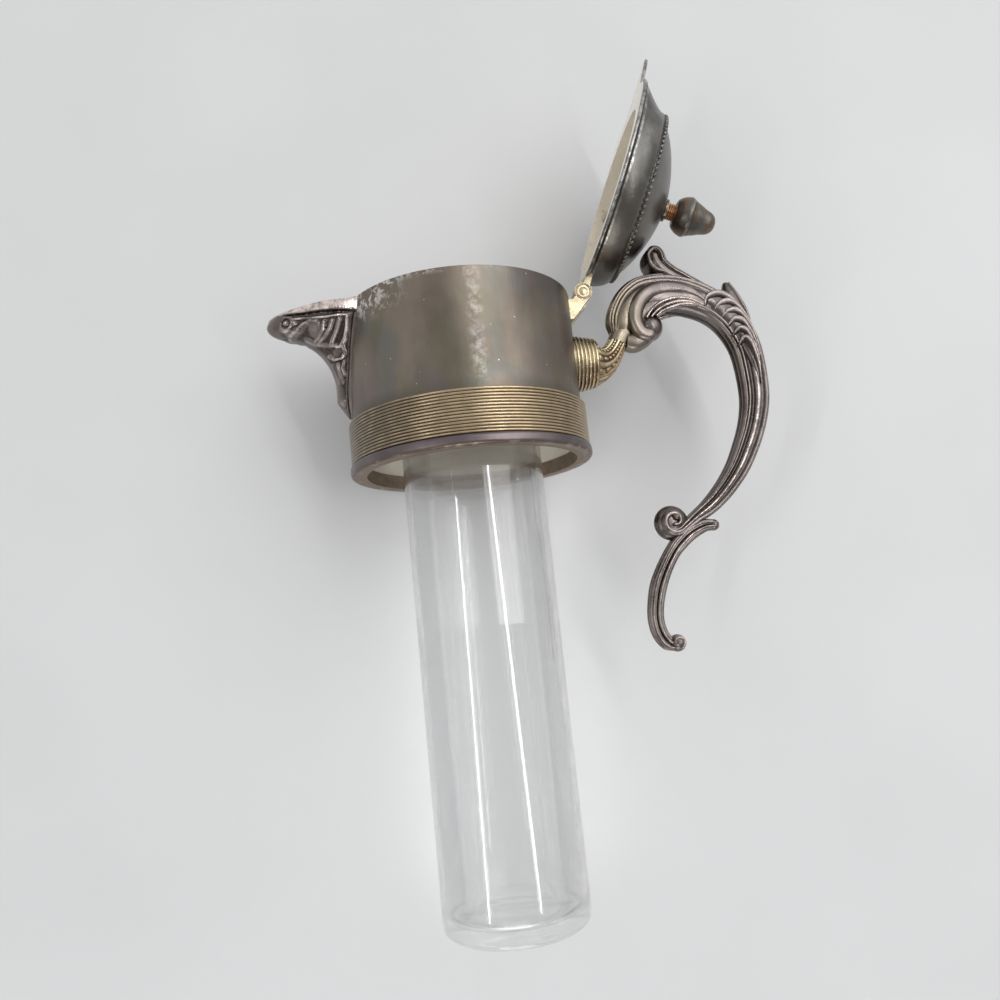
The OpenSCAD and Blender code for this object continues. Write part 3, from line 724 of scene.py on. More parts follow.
def add_lamp(name, place, aim, size, power, tilt):
    """A soft flat lamp turned to its aim, with its long side tilted from upright by an angle."""
    lamp = bpy.data.lights.new(name, "AREA")
    lamp.shape = "RECTANGLE"
    lamp.size, lamp.size_y = size
    lamp.energy = power
    back = np.subtract(place, aim)
    back /= np.linalg.norm(back)
    side = np.cross((0, 0, 1), back)
    side /= np.linalg.norm(side)
    up = np.cross(back, side)
    cos, sin = math.cos(math.radians(tilt)), math.sin(math.radians(tilt))
    set_up(name, lamp, (side * cos + up * sin, up * cos - side * sin, back), place)


class MakeStage(bpy.types.Operator):
    """Camera, lamps, pale surroundings and the table top on which the mount lies"""

    bl_idname = "jug.make_stage"
    bl_label = "Stage"

    def execute(self, context):
        """Adds the camera and the stage."""
        scene = context.scene
        turn = turning(2, CAMERA_TURN[2]) @ turning(1, CAMERA_TURN[1]) @ turning(0, CAMERA_TURN[0])
        turn = turn @ np.array([[1, 0, 0], [0, 0, -1], [0, 1, 0]])
        eye = -turn.T @ np.array(CAMERA_SHIFT) * MM
        camera = bpy.data.cameras.new("photo_camera")
        camera.sensor_width = 36
        camera.lens = CAMERA_FOCUS * camera.sensor_width / PHOTO_SIDE
        camera.clip_start, camera.clip_end = 0.01, 20
        scene.camera = set_up("photo_camera", camera, (turn[0], -turn[1], -turn[2]), eye)
        scene.view_settings.view_transform = "Standard"
        self.table(scene)
        self.surroundings(scene)
        for lamp in LAMPS:
            add_lamp(*lamp)
        return {"FINISHED"}

    def table(self, scene):
        """Table top behind the mount, clear from its back so that rear views aren't shut off."""
        half = 3
        y = cad_corner("base_lip", 1, 1) * MM + scene.jug_shapes.table_gap
        corners = [(-half, y, -half), (half, y, -half), (half, y, half), (-half, y, half)]
        mesh = bpy.data.meshes.new("table_top")
        mesh.from_pydata(corners, [], [(0, 1, 2, 3)])
        finish = Finish("table_paint")
        shade = finish.toned(finish.cloud(9, 4).step(0.3, 0.7), colour("table"), 0.975, 1.02)
        paint = finish.add("ShaderNodeBsdfPrincipled", None, {"Base Color": shade, "Roughness": 0.75})
        clear = finish.add("ShaderNodeBsdfTransparent")
        behind = Wire(finish, finish.add("ShaderNodeNewGeometry").outputs["Backfacing"])
        mesh.materials.append(finish.blend(behind, paint, clear))
        table = bpy.data.objects.new("table_top", mesh)
        scene.collection.objects.link(table)

    def surroundings(self, scene):
        """Pale room, a little brighter from above."""
        world = bpy.data.worlds.new("pale_room")
        world.use_nodes = True
        scene.world = world
        sky = Nodes(world.node_tree)
        way = Wire(sky, sky.add("ShaderNodeTexCoord").outputs["Generated"])
        height = Wire(sky, sky.add("ShaderNodeSeparateXYZ", None, {0: way}).outputs[2])
        glow = height.step(-0.9, 0.9) * 0.30 + 0.455
        light = sky.add("ShaderNodeBackground", None, {"Color": glow})
        sky.add("ShaderNodeOutputWorld", None, {"Surface": Wire(sky, light.outputs[0])})


# ---- collar ----


class DressCollar(bpy.types.Operator):
    """Finishes of the collar, the sleeve, the tube's seat and the small fastenings"""

    bl_idname = "jug.dress_collar"
    bl_label = "Collar"

    def execute(self, context):
        """Gives each plain solid its finish."""
        dress("collar_drum", drum_finish())
        dress("reeded_band", reeded_finish())
        dress("base_lip", lip_finish())
        gilt = gilt_finish("sleeve_gilt")
        for node in ("neck_sleeve", "seat_plate", "lid_seat"):
            dress(node, gilt)
        dress("neck_seal", soft_stuff("seal_cork", "seal", 0.6, 500))
        dress("tube_gasket", soft_stuff("gasket_rubber", "rubber", 0.5, 200))
        steel = plain_metal("fastening_steel", "steel", 0.35)
        for node in ("handle_screw", "handle_washer"):
            dress(node, steel)
        return {"FINISHED"}


# ---- spout ----


SPOUT_FRAME = [(-30, 52.4), (-36.5, 53.4), (-40.5, 54.4), (-47.2, 55.5), (-54.2, 56.1), (-60.4, 57.4)]
SPOUT_STRIP = [(-36.4, 54), (-36.5, 53), (-37.8, 48), (-39.1, 42.2), (-40.1, 36.3), (-41.2, 30), (-41.3, 24),
               (-41, 19)]
SPOUT_VEINS = [  # line, half width, height
    ([(-38.4, 52.2), (-39.1, 48.8), (-40.1, 46.1), (-41.8, 44.2)], 0.95, 1.0),
    ([(-41.3, 52), (-42.9, 49.2), (-44.7, 46.8), (-45.6, 45.4)], 0.85, 0.8),
    ([(-43.8, 52), (-45.2, 50), (-47.3, 48.3), (-49.4, 47.2)], 0.8, 0.85),
    ([(-46.4, 52.3), (-47.3, 50.2), (-49.1, 48.6), (-50.7, 48)], 0.7, 0.9),
    ([(-58.2, 55.3), (-54.3, 54.7), (-50.2, 54), (-45.7, 53.4), (-41.3, 53.2), (-38, 52.6)], 0.6, 0.95),
    ([(-59.8, 51.2), (-56.2, 51.8), (-53.5, 53), (-50.9, 53.4)], 0.65, 0.9),
    ([(-58.1, 50.7), (-54.3, 51.3), (-52.5, 52.3)], 0.6, 0.75),
    ([(-53.9, 49.3), (-50.9, 47.4), (-47, 45.8), (-43.5, 44.7)], 0.75, 0.8),
    ([(-46.5, 42.7), (-44.4, 40.9), (-41.8, 40.6), (-40.6, 42), (-41.1, 44), (-43.2, 44.3)], 0.7, 1.0),
    ([(-41.2, 39.5), (-42.2, 37.6), (-41.5, 35)], 0.6, 0.85),
    ([(-45.8, 39.8), (-45, 36.8), (-43.5, 33)], 0.7, 0.75),
    ([(-43.8, 39.5), (-43.5, 36.6), (-42.4, 32.8)], 0.6, 0.8),
]
SPOUT_RING = ((-60.1, 54.6), 2.3, 0.75, 0.95)  # middle, radius, half width, height
SPOUT_MOUNDS = [  # middle, half width, half height, height
    ((-50, 51.1), 2.7, 3.0, 0.72), ((-60.1, 54.6), 1.3, 1.3, 0.9), ((-56.9, 53.8), 1.1, 1.1, 0.9),
    ((-43.6, 42.7), 1.9, 1.6, 0.6), ((-44.2, 36.4), 2.6, 4.4, 0.5), ((-44.4, 29.3), 2.4, 4.2, 0.65),
    ((-43.4, 26.2), 1.7, 1.7, 0.85), ((-42.4, 23), 1.2, 2, 0.5),
]


def keel_line(z):
    """Reach of the keel at height z: a round beak, a quarter round under it, then a steep foot."""
    beak_h, beak_r, curve_r = 6.2, 5.2, 20.0
    beak_z = COLLAR_TOP - beak_h
    up = np.clip((z - beak_z) / beak_h, 0, 1)
    beak = SPOUT_REACH - beak_r * (1 - round_top(np.where(up < 0.6, (0.6 - up) / 0.6, (up - 0.6) / 0.5)))
    down = np.clip(beak_z - z, 0, curve_r)
    hollow = SPOUT_REACH - 2.4 - curve_r * round_top((curve_r - down) / curve_r)
    hollow = np.minimum(hollow, SPOUT_REACH - beak_r)
    foot = COLLAR_R + (z - SPOUT_FOOT) * 0.62 + 0.4 + 3 * np.maximum(0, z - SPOUT_FOOT - 9)
    return np.where(z > beak_z, beak, np.minimum(hollow, foot))


def spout_surface(z, u, inset):
    """Side walls from the drum to the keel: x = -back - (keel - back)(1 - |u|^sharp), y = half width * u.

    The top edge rises by t^5 away from the drum.
    """
    t = (z - SPOUT_FOOT) / (COLLAR_TOP - SPOUT_FOOT)
    half = np.maximum(1, 20.5 * np.clip(t, 0, 1) ** 0.6 + 1.5 - inset)
    back = np.sqrt(COLLAR_R**2 - half**2) - 3
    keel = np.maximum(keel_line(z - inset) - inset, back + 1)
    x = -back - (keel - back) * (1 - np.abs(u) ** (1.7 + 0.05 * t))
    y = half * u
    in_wall = np.sqrt((COLLAR_R - 0.5) ** 2 - y**2)
    rise = np.clip(t, 0, 1) ** 5 * soft_step(-x, COLLAR_R - 3, COLLAR_R + 6)
    return np.stack([-np.maximum(-x, in_wall), y, z + rise], -1)


def spout_height(x, z):
    """Raised pattern of a side wall: borders at 0.62 to 1 with a groove in them, round a panel at 0.25.

    Veins, a ring and mounds rise in the panel, each as its height * sqrt(1 - tt) of the distance t from it.
    """
    frame_z = np.interp(-x, [-p[0] for p in SPOUT_FRAME], [p[1] for p in SPOUT_FRAME])
    strip_x = np.interp(z, [p[1] for p in SPOUT_STRIP[::-1]], [p[0] for p in SPOUT_STRIP[::-1]])
    keel_gap = keel_line(z) + x
    panel = (soft_step(frame_z - z, 0.2, 0.8) * soft_step(strip_x - x, 0.3, 0.9)
             * soft_step(keel_gap, 0.5, 1.5) * soft_step(x, -62.6, -61.4))
    (cx, cz), radius, width, crown = SPOUT_RING
    forms = [crown * round_top((np.hypot(x - cx, z - cz) - radius) / width)]
    forms += [crown * round_top(distance_to_line(x, z, line) / width) for line, width, crown in SPOUT_VEINS]
    forms += [crown * round_top(np.hypot((x - cx) / wide, (z - cz) / tall))
              for (cx, cz), wide, tall, crown in SPOUT_MOUNDS]
    inside = np.maximum(0.25, np.max(forms, axis=0))
    groove = np.minimum(distance_to_line(x, z, SPOUT_FRAME), distance_to_line(x, z, SPOUT_STRIP))
    top_band = soft_step(z - frame_z, 0.2, 0.9)
    border = 0.62 + 0.38 * top_band - 0.5 * hump(groove, 0, 0.32) * soft_step(x, -62.5, -59)
    return np.clip(panel * inside + (1 - panel) * border, 0, 1)


def spout_part(depth, rows=190, columns=241):
    """Outer wall pressed in by depth * (1 - height) along its normal, joined to a plain gilt inner wall.

    Towards the foot the inner wall draws in to a point, which leaves a solid floor.
    """
    z = np.linspace(SPOUT_FOOT, COLLAR_TOP, rows)[:, None]
    u = signed_power(np.sin(np.linspace(-np.pi / 2, np.pi / 2, columns))[None, :], 0.9)
    outer = spout_surface(z, u, 0.0)
    height = spout_height(outer[..., 0], outer[..., 2])
    along, across = np.gradient(outer, axis=0), np.gradient(outer, axis=1)
    normal = np.cross(across, along)
    normal /= np.linalg.norm(normal, axis=-1, keepdims=True) + 1e-12
    # The spout stands out towards -X, and so do its normals.
    normal *= np.where(normal[:, :, :1].mean() > 0, -1, 1)
    free = soft_step(np.hypot(outer[..., 0], outer[..., 1]), COLLAR_R, COLLAR_R + 1.0)[..., None]
    edge = soft_step(COLLAR_TOP - z, 0, 0.8)[..., None]
    outer = outer - normal * depth * (1 - height[..., None]) * free * edge
    wall, floor = 1.9, 6
    share = np.clip((z - SPOUT_FOOT) / floor, 0, 1)[..., None]
    inner = spout_surface(np.maximum(z, SPOUT_FOOT + floor), u, wall)
    inner = inner * share + inner[:1].mean(1, keepdims=True) * (1 - share)
    loop = np.concatenate([outer, inner[:, ::-1]], axis=1)
    seen = np.concatenate([height, np.full(height.shape, 0.55)], axis=1)
    around = loop.shape[1]
    points, faces, relief, _ = grid_part(loop, seen)
    column = np.arange(len(faces)) % around
    gilt = (column >= columns) & (column < around - 1)
    k = np.arange(columns - 1)
    foot = np.stack([k, k + 1, around - 2 - k, around - 1 - k], -1)
    rim = foot + (rows - 1) * around
    slots = np.concatenate([gilt, np.zeros(len(rim) + len(foot))]).astype(int)
    return points, np.vstack([faces, rim, foot]), relief, slots


class MakeSpout(bpy.types.Operator):
    """Spout with its borders, leaf veins, rings and hollows"""

    bl_idname = "jug.make_spout"
    bl_label = "Spout"

    def execute(self, context):
        """Builds the spout in place of its solid."""
        metal = worked_metal("spout_plate", "cast", deep=0.15, bright=4.4, rough=0.24, edge=0.62)
        gilt = gilt_finish("spout_gilt")
        part = spout_part(context.scene.jug_shapes.spout_relief / MM)
        make_piece("spout_leafed", [part], [metal, gilt], "jug_mount", ["spout"])
        return {"FINISHED"}


# ---- lid ----


def tip_share(turn, width, power):
    """1 at the tip, down to 0 at an angle of width degrees from it: (1 - off/width) to the power."""
    off = np.abs(np.degrees(turn) - 180)
    return np.clip(1 - off / width, 0, 1) ** power


def flange_part(columns=420):
    """Lower tier: a round edge with a shoulder and a prong at the tip, and a swelling flank up to the beads.

    The flank's reach falls as (1 - t^m)^n with its height; m goes from 1.8 to 1 at the tip, and n from 0.7
    to 2.4.
    """
    turn = angles(columns)
    foot = LID_R + TONGUE * tip_share(turn, 60, 1.0)
    prong = PRONG_REACH + LID_BACK - LID_R - TONGUE
    prong_half = 12
    edge = foot + prong * tip_share(turn, math.degrees(math.atan2(prong_half, LID_R + TONGUE)), 2)
    flank_foot = foot - 1.2 + 0.12 * (edge - foot)
    flat = tip_share(turn, 60, 0.5)
    start = 2.0 - 0.5 * flat
    # Relief of 0.95 to 1 on the rim's rows and at the flank's foot paints a flecked highlight along the rim,
    # through the lid plate's ridge brightening.
    rows = [(SHELL_R, 0.0, 0.4), (edge - 1.0, 0.0, 0.7), (edge - 0.25, 0.1, 0.95), (edge, 0.45, 1),
            (edge, 0.85, 1), (edge - 0.25, 1.2, 0.95), (edge - 0.8, 1.35, 0.6),
            (np.maximum(flank_foot + 0.7, TIER_R), 1.45, 0.3)]
    for t in np.linspace(0, 1, 26):
        swell = (1 - t ** (1.8 - 0.8 * flat)) ** (0.7 + 1.7 * flat)
        rows.append((TIER_R + (flank_foot - TIER_R) * swell, start + (TIER_H - 0.3 - start) * t,
                     0.45 + 0.5 * (t < 0.12) + 0.25 * (t > 0.93)))
    rows += [(TIER_R - 0.25, TIER_H - 0.05, 0.9), (TIER_R - 0.6, TIER_H, 0.7), (TIER_R - 2.0, TIER_H, 0.2),
             (SHELL_R, TIER_H, 0.3)]
    reach, level, relief = (np.array([np.broadcast_to(row[k], columns) for row in rows]) for k in range(3))
    return grid_part(rings(columns, reach, level), relief, True, lined=(0, len(rows) - 1))


def dome_rows(radius, height, count):
    """Dome outline: radius * cos^1.15 and height * sin^1.54 of an angle from 0 to 90 degrees."""
    a = np.linspace(0, np.pi / 2, count)
    return np.stack([radius * np.cos(a).clip(0) ** 1.15, height * np.sin(a) ** 1.54], 1)


def bead_part(size, count):
    """Small balls side by side on a ring round the dome's foot."""
    rows, columns = 6, 8
    middle = rings(count, np.array([[DOME_R + size / 2]]), TIER_H + size / 2)[0]
    points = (middle[:, None, None] + unit_ball(rows, columns) * size / 2).reshape(-1, 3)
    faces = (quads(rows, columns) + np.arange(count)[:, None, None] * rows * columns).reshape(-1, 4)
    return points, faces, np.full(len(points), 0.8), np.zeros(len(faces), int)


class MakeLid(bpy.types.Operator):
    """Lid: lower tier with its prong, dome and ring of beads"""

    bl_idname = "jug.make_lid"
    bl_label = "Lid"

    def execute(self, context):
        """Builds the lid's three pieces about its axis and opens them."""
        shapes = context.scene.jug_shapes
        browned = (scaled(colour("plate"), 0.72), lid_browning)
        plate = worked_metal("lid_plate", "lid", 0.4, 3.4, 0.29, 0.84, browned)
        finishes = [plate, gilt_finish("lid_gilt")]
        make_piece("lid_tier", [moved(flange_part(), opened)], finishes, "lid", ["lid_flange"])
        rise = DOME_H - TIER_H
        outer = dome_rows(DOME_R, rise, 48)
        inner = dome_rows(DOME_R - 1, rise - 1, 40)[::-1]
        foot = [(DOME_R + 0.5, 0.02), (DOME_R + 0.45, 0.35), (DOME_R + 0.1, 0.5)]
        profile = np.vstack([inner, foot, outer[1:]]) + (0, TIER_H)
        crown = turned(profile, 144, lined=np.arange(len(inner) - 1))
        make_piece("lid_crown", [moved(crown, opened)], finishes, "lid", ["lid_dome"])
        size = shapes.bead_size / MM
        ledge = np.array([(-0.4, 0), (size * 0.75, 0), (size * 0.75, 0.4), (0.5, 0.7), (-0.4, 0.7)])
        strip = turned(ledge + (DOME_R, TIER_H), 176, 0.15, closed=True)
        beads = [moved(part, opened) for part in (strip, bead_part(size, shapes.bead_count))]
        make_piece("lid_beads", beads, [plate], "lid", ["bead_ring"])
        return {"FINISHED"}


def onto_pin(x, y, z):
    """A shape turned about Z, laid along Y on the hinge."""
    return HINGE_X + x, z, HINGE_Z + y


class MakeHinge(bpy.types.Operator):
    """Hinge: bracket and leaf finishes, pin with round heads and rings round them"""

    bl_idname = "jug.make_hinge"
    bl_label = "Hinge"

    def execute(self, context):
        """Builds the pin along Y and dresses the two leaves."""
        brass = plain_metal("hinge_brass", "brass", 0.3, 0.35)
        for node in ("hinge_bracket", "lid_leaf"):
            dress(node, brass)
        reach = cad_corner("hinge_pin", 1, 1)
        face = cad_corner("hinge_bracket", 1, 1)
        head = np.array([(0, -reach), (0.7, -reach + 0.05), (1.25, -reach + 0.22), (1.55, -face - 0.05),
                         (1.6, -face + 0.3)])
        parts = [moved(turned(np.vstack([head, head[::-1] * (1, -1)]), 48, 0.8), onto_pin)]
        ring = [(2.15, 0.25), (2.25, -0.12), (2.6, -0.3), (2.95, -0.15), (3.15, 0.15), (3.1, 0.5), (2.2, 0.5)]
        for side in (1, -1):
            profile = np.add(ring, (0, -face)) * (1, side)
            parts.append(moved(turned(profile, 48, [0.3, 0.7, 1, 1, 0.7, 0.3, 0.3], closed=True), onto_pin))
        metal = worked_metal("pin_brass", "brass", deep=0.25, bright=1.7, rough=0.25, edge=0.6)
        make_piece("hinge_pin_headed", parts, [metal], "jug_mount", ["hinge_pin"])
        return {"FINISHED"}


# ---- finial ----


KNOB_OUTLINE = [(4.4, 0), (5.3, 0.45), (6.5, 2.0), (7.2, 3.9), (7.38, 5.0), (7.0, 6.0), (6.35, 7.2),
                (5.7, 9.0), (4.9, 10.8), (4.45, 12.2), (4.0, 13.6), (3.0, 15.0), (1.5, 15.8), (0, 16)]
KNOB_BORE = [(0, 9.2), (3.24, 9.2), (3.26, 0.3), (3.4, 0), (4.2, 0)]


def threaded_part(radius, low, high, pitch):
    """Screw thread: radius less a triangle wave of height over pitch plus the turn, 0.32 mm deep."""
    columns = 64
    z = np.arange(low, high, pitch / 8)[:, None]
    wave = np.abs(((z / pitch + angles(columns) / (2 * np.pi)) % 1) - 0.5) * 2
    return grid_part(*closed_ends(rings(columns, radius - 0.32 * wave, z), 1 - wave))


def acorn_part():
    """Acorn knob: its outline turned, with a thin groove at 6.3 and 1.4 mm up and a bright ridge at 5.5."""
    shape = spline(KNOB_OUTLINE, 5)
    h = shape[:, 1]
    shape[:, 0] -= 0.16 * hump(h, 6.3, 0.22) + 0.1 * hump(h, 1.4, 0.2)
    relief = 0.55 + 0.45 * hump(h, 5.5, 0.5) - 0.4 * hump(h, 6.3, 0.3)
    profile = np.vstack([KNOB_BORE, shape]) + (0, KNOB_FOOT)
    return turned(profile, 96, np.concatenate([np.full(len(KNOB_BORE), 0.4), relief]))


class MakeFinial(bpy.types.Operator):
    """Finial: threaded stud, washer, nut and acorn knob"""

    bl_idname = "jug.make_finial"
    bl_label = "Finial"

    def execute(self, context):
        """Builds the stud and the knob about the lid's axis and opens them."""
        copper = worked_metal("stud_copper", "copper", deep=0.35, bright=1.4, rough=0.28, edge=0.5)
        stud = threaded_part(3.2, DOME_H - 6.4, KNOB_FOOT + 8, context.scene.jug_shapes.thread_pitch / MM)
        make_piece("finial_stud_threaded", [moved(stud, opened)], [copper], "lid", ["finial_stud"])
        dress("finial_nut", plain_metal("nut_copper", "copper", 0.35))
        dress("finial_washer", plain_metal("washer_plate", "knob", 0.32))
        stained = (scaled(colour("stain"), 1.1), knob_stains)
        metal = worked_metal("knob_plate", "knob", 0.4, 2.6, 0.32, 0.85, stained)
        acorn = moved(acorn_part(), opened)
        make_piece("finial_acorn", [acorn], [metal], "knob", ["finial_knob"])
        return {"FINISHED"}


# ---- handle ----


# Rows of x, z, thickness, width along the bars of the handle.
STRAP = [(57.6, 43.4, 7.6, 7.6), (58.4, 47, 9.6, 9.5), (59.7, 51.5, 11.4, 11), (63, 56.6, 12.6, 12),
         (68, 59.6, 14.2, 12.4), (74, 60, 15.6, 12.4), (80.5, 59.4, 15.6, 12), (87, 57.4, 14.6, 12),
         (93.4, 54.2, 13.6, 11.6), (98.7, 49.6, 13.2, 11), (102.4, 43.8, 12.8, 10.6),
         (104.7, 37.2, 12.2, 10.2), (105.6, 29.2, 11.7, 9.8), (105.6, 20.4, 11.2, 9.6),
         (104.5, 13.6, 10.6, 9.6), (102.2, 6.6, 10, 9.6), (99, -0.2, 9.5, 9.4), (95.3, -6.6, 8.8, 9.2),
         (91.2, -11.9, 8, 9), (86.9, -16.4, 7.3, 8.8), (82.4, -20.2, 6.4, 8.4), (77.6, -23.2, 5.2, 8.2)]
TAIL = [(83.7, -27, 4, 5), (80.8, -26.8, 4.8, 5.8), (77.7, -27.5, 5.6, 6.4), (73.8, -29.3, 6.2, 6.8),
        (70.1, -32.2, 6.2, 6.8), (67.1, -35.4, 5.8, 6.8), (63.5, -40.8, 5.9, 6.8), (60.7, -46.5, 6.2, 6.6),
        (59, -52.2, 5.9, 6.4), (58.3, -57.6, 5.8, 6.2), (59, -62.4, 5.8, 6), (61.1, -66, 5.5, 5.6),
        (63.6, -67.2, 4.6, 5.2)]
THUMB = [(95.5, 58.9, 2.6, 6), (90.3, 62.4, 3, 7.6), (84.9, 65.7, 3.2, 9), (80.6, 68.5, 3.4, 9.6),
         (77.6, 71.6, 3.6, 10), (76.9, 74.6, 3.6, 9.8), (75.6, 76.6, 3.2, 9.4), (73.8, 76.9, 3, 9)]
THUMB_CORE = [(86.5, 63.4, 3, 7), (81.6, 65.6, 4.4, 8), (77.6, 68, 5.4, 8.6), (74.8, 71.4, 5.4, 8.8),
              (74.2, 74.4, 4.6, 8.4)]
THUMB_SCOOP = [(78.4, 67.4, 2.4, 8.4), (74.2, 68.4, 2.8, 9.6), (72, 71.2, 3, 10), (71.8, 74.4, 2.8, 9.8),
               (74, 76.6, 2.6, 9)]
SPUR = [(103.9, 50.7, 6, 7), (102.3, 56.3, 5, 6), (101.1, 60.3, 3.4, 4.6), (100.8, 62.8, 1.6, 2.6)]
SPUR_BACK = [(107.2, 47.6, 1.6, 6), (106.4, 51.3, 2, 6), (104.9, 55.7, 1.9, 5.4), (103.4, 59.4, 1.6, 4.4),
             (101.9, 62.8, 1.2, 2.6)]
NECK = [(57.0, 42.4, 7.4, 7.4), (58.4, 45.0, 7.6, 7.6), (60, 46.5, 7.6, 7.6)]
NECK_UNDER = [(60.2, 42.6, 6.0, 7), (63.4, 42.4, 7.6, 8), (67.6, 45.0, 8, 8.4), (69.8, 47.4, 6, 7)]
SCROLL_ROLL = [(68.6, 43.6, 4.6, 4.4), (65.4, 44.6, 5.2, 5), (63.7, 47.9, 5.6, 5.4), (63.9, 52, 5.8, 5.6),
               (66, 56.4, 6, 5.8), (70.2, 59.6, 6, 5.8), (75.4, 60.8, 5.6, 5.6), (81.4, 60.2, 4.8, 5.2),
               (86.3, 58.2, 3.6, 4.6), (90.4, 55.2, 2, 3.6)]
HEAD_FILL = [(64, 48.5, 7, 9.4), (67, 52.6, 8, 9.8), (72, 55, 8, 10), (79, 57, 6, 10), (86, 56.4, 4, 9)]
LEAF_BASE = [(90.6, 55, 5, 4), (93.4, 54.9, 8, 4.6), (97.4, 52, 9.4, 5), (101, 47.6, 9, 5),
             (103.4, 42.6, 8, 4.8), (105, 37, 6.4, 4.4), (106.1, 31, 4.4, 4), (106.6, 25, 2.4, 3.4)]

# Lines of x, z for the ribs and leaf lobes on each side of the handle.
INNER_RIBS = [[(67.6, 49.6), (70, 52.6), (74.1, 55.2), (79.2, 56.4), (84.7, 55.6), (89, 53.4)],
              [(69.4, 49.8), (71.8, 52), (75.4, 53.9), (80.1, 55), (84.8, 54.5), (88.4, 52.9)],
              [(71.4, 50), (73.5, 51.6), (76.7, 52.8), (80.6, 53.7), (84.2, 53.8), (87.4, 53)]]
LEAF_LOBES = [
    [(90.4, 53.2), (91.3, 55.7), (93.9, 57), (97.1, 56.5), (100.2, 54.4), (103.1, 50.7), (105.4, 45.6),
     (107.1, 39.7)],
    [(93.8, 51.2), (95.8, 53.1), (98.9, 53.7), (101.7, 52), (104.3, 48.3), (106.2, 43.6), (107.4, 37.8)],
    [(96.4, 48.4), (98.3, 49.9), (101.1, 50.1), (103.8, 47.6), (106, 43.2), (107.4, 38.1), (107.9, 33.1)],
    [(98.2, 45), (100.2, 46.7), (102.8, 46.1), (105, 42.9), (106.7, 38.2), (107.6, 32.8)],
    [(99.6, 41.4), (101.5, 43), (103.7, 42.2), (105.4, 38.7), (106.8, 34), (107.3, 28.6)],
    [(101.2, 37.6), (102.9, 39.4), (104.6, 38), (105.8, 34.1), (106.7, 28.7), (106.9, 22.7)]]
VOLUTE = (68.6, -24.4)
TAIL_CURL = (64.5, -66.3)
BALLS = [  # x, z, radii, relief
    (69.7, 47.3, (4.9, 5.4, 4.9), 0.55),  # in the upper scroll
    (68.2, -24.9, (6.2, 3.3, 6.2), 0.4),  # behind the lower volute
    (69.4, -23.1, (2.0, 5.0, 2.0), 0.85),  # eye of the lower volute
    (83.5, -26.9, (1.9, 2.5, 2.05), 0.5),  # start of the tail
    (64.7, -66.6, (3.1, 3.6, 3.0), 0.45),  # behind the tail's curl
    (64.5, -66.2, (1.0, 3.9, 1.0), 0.8),  # eye of the tail's curl
]


def strap_section(run, q):
    """Ribs across the strap: narrow ones on the head, then a rim, hollows and two ribs, then a plain curl."""
    head = lobes(q, [0, 0.1, 0.2, 0.3, 0.4, 1], [1, 0.95, 0.9, 0.8, 0.62])
    body = lobes(q, [0, 0.13, 0.31, 0.44, 0.545, 0.62, 0.70, 1], [1, 0.9, 0.3, 1, 0.25, 0.95, 0.72])
    share = soft_step(run, 0.2, 0.34)
    curl = soft_step(run, 0.86, 0.93)
    ribs = (head * (1 - share) + body * share) * (1 - curl) + 0.85 * curl
    root = soft_step(run, 0.005, 0.035)
    return ribs * root + 0.15 * (1 - root)


def tail_section(_, q):
    """Two bright ribs between a dark groove and two plain sides."""
    return lobes(q, [0, 0.3, 0.37, 0.5, 0.57, 0.69, 1], [0.85, 0.5, 1, 0.5, 1, 0.85])


def thumb_section(_, q):
    """Rounded front, a bright edge rib and a plain back."""
    return lobes(q, [0, 0.34, 0.5, 1], [0.7, 0.95, 0.6])


def lobe_section(_, q):
    """Bright upper edge of a leaf lobe: 0.05 + 0.95 exp(-((q - 0.36) / 0.13)^2)."""
    return 0.05 + 0.95 * hump(q, 0.36, 0.13)


def spiral_rows(centre, start, turns, radius, thickness, width):
    """Turns of a volute: radius and thickness fall evenly with the angle, and width grows towards the eye.

    Start is its first angle in degrees.
    """
    t = np.linspace(0, 1, int(abs(turns) * 28))
    a = math.radians(start) - 2 * np.pi * turns * t
    reach = radius * (1 - 0.72 * t)
    return np.stack([centre[0] + reach * np.cos(a), centre[1] + reach * np.sin(a), thickness * (1 - 0.5 * t),
                     width * (1 + 0.14 * t)], 1)


def tapered(line, thick, width):
    """Rows along a line, with thickness and width that pass through the values given at even steps."""
    share = np.linspace(0, 1, len(line))
    sizes = [np.interp(share, np.linspace(0, 1, len(values)), values) for values in (thick, width)]
    return spline(np.column_stack([line, *sizes]), 6)


def out_of_wall(x, y, z):
    """A shape turned about Z, laid along X at the handle's root and ended against the collar's wall."""
    wall = np.sqrt(np.maximum((COLLAR_R - 0.4) ** 2 - y**2, 0))
    return np.maximum(z, wall), y, ROOT_Z + x


def ferrule_part():
    """Ferrule: rings as |cos|^0.7 along it, a pitch apart, and a thin line in each groove between them."""
    start, pitch, bore = 38.0, 1.42, 2.4
    x = np.linspace(start, ROOT_X + 0.4, 150)
    place = (x - COLLAR_R) / pitch
    height = np.maximum(np.abs(np.cos(np.pi * place)) ** 0.7, 0.35 * hump((place + 0.02) % 1, 0.5, 0.09))
    reach = np.interp(x, [start, 40.3, ROOT_X], [10.4, 10.3, 8.9]) - 0.6 * (1 - height)
    profile = np.vstack([[bore, x[0]], np.column_stack([reach, x]), [bore, x[-1]]])
    relief = np.concatenate([[0.2], 0.2 + 0.8 * height, [0.2]])
    return moved(turned(profile, 120, relief, closed=True), out_of_wall)


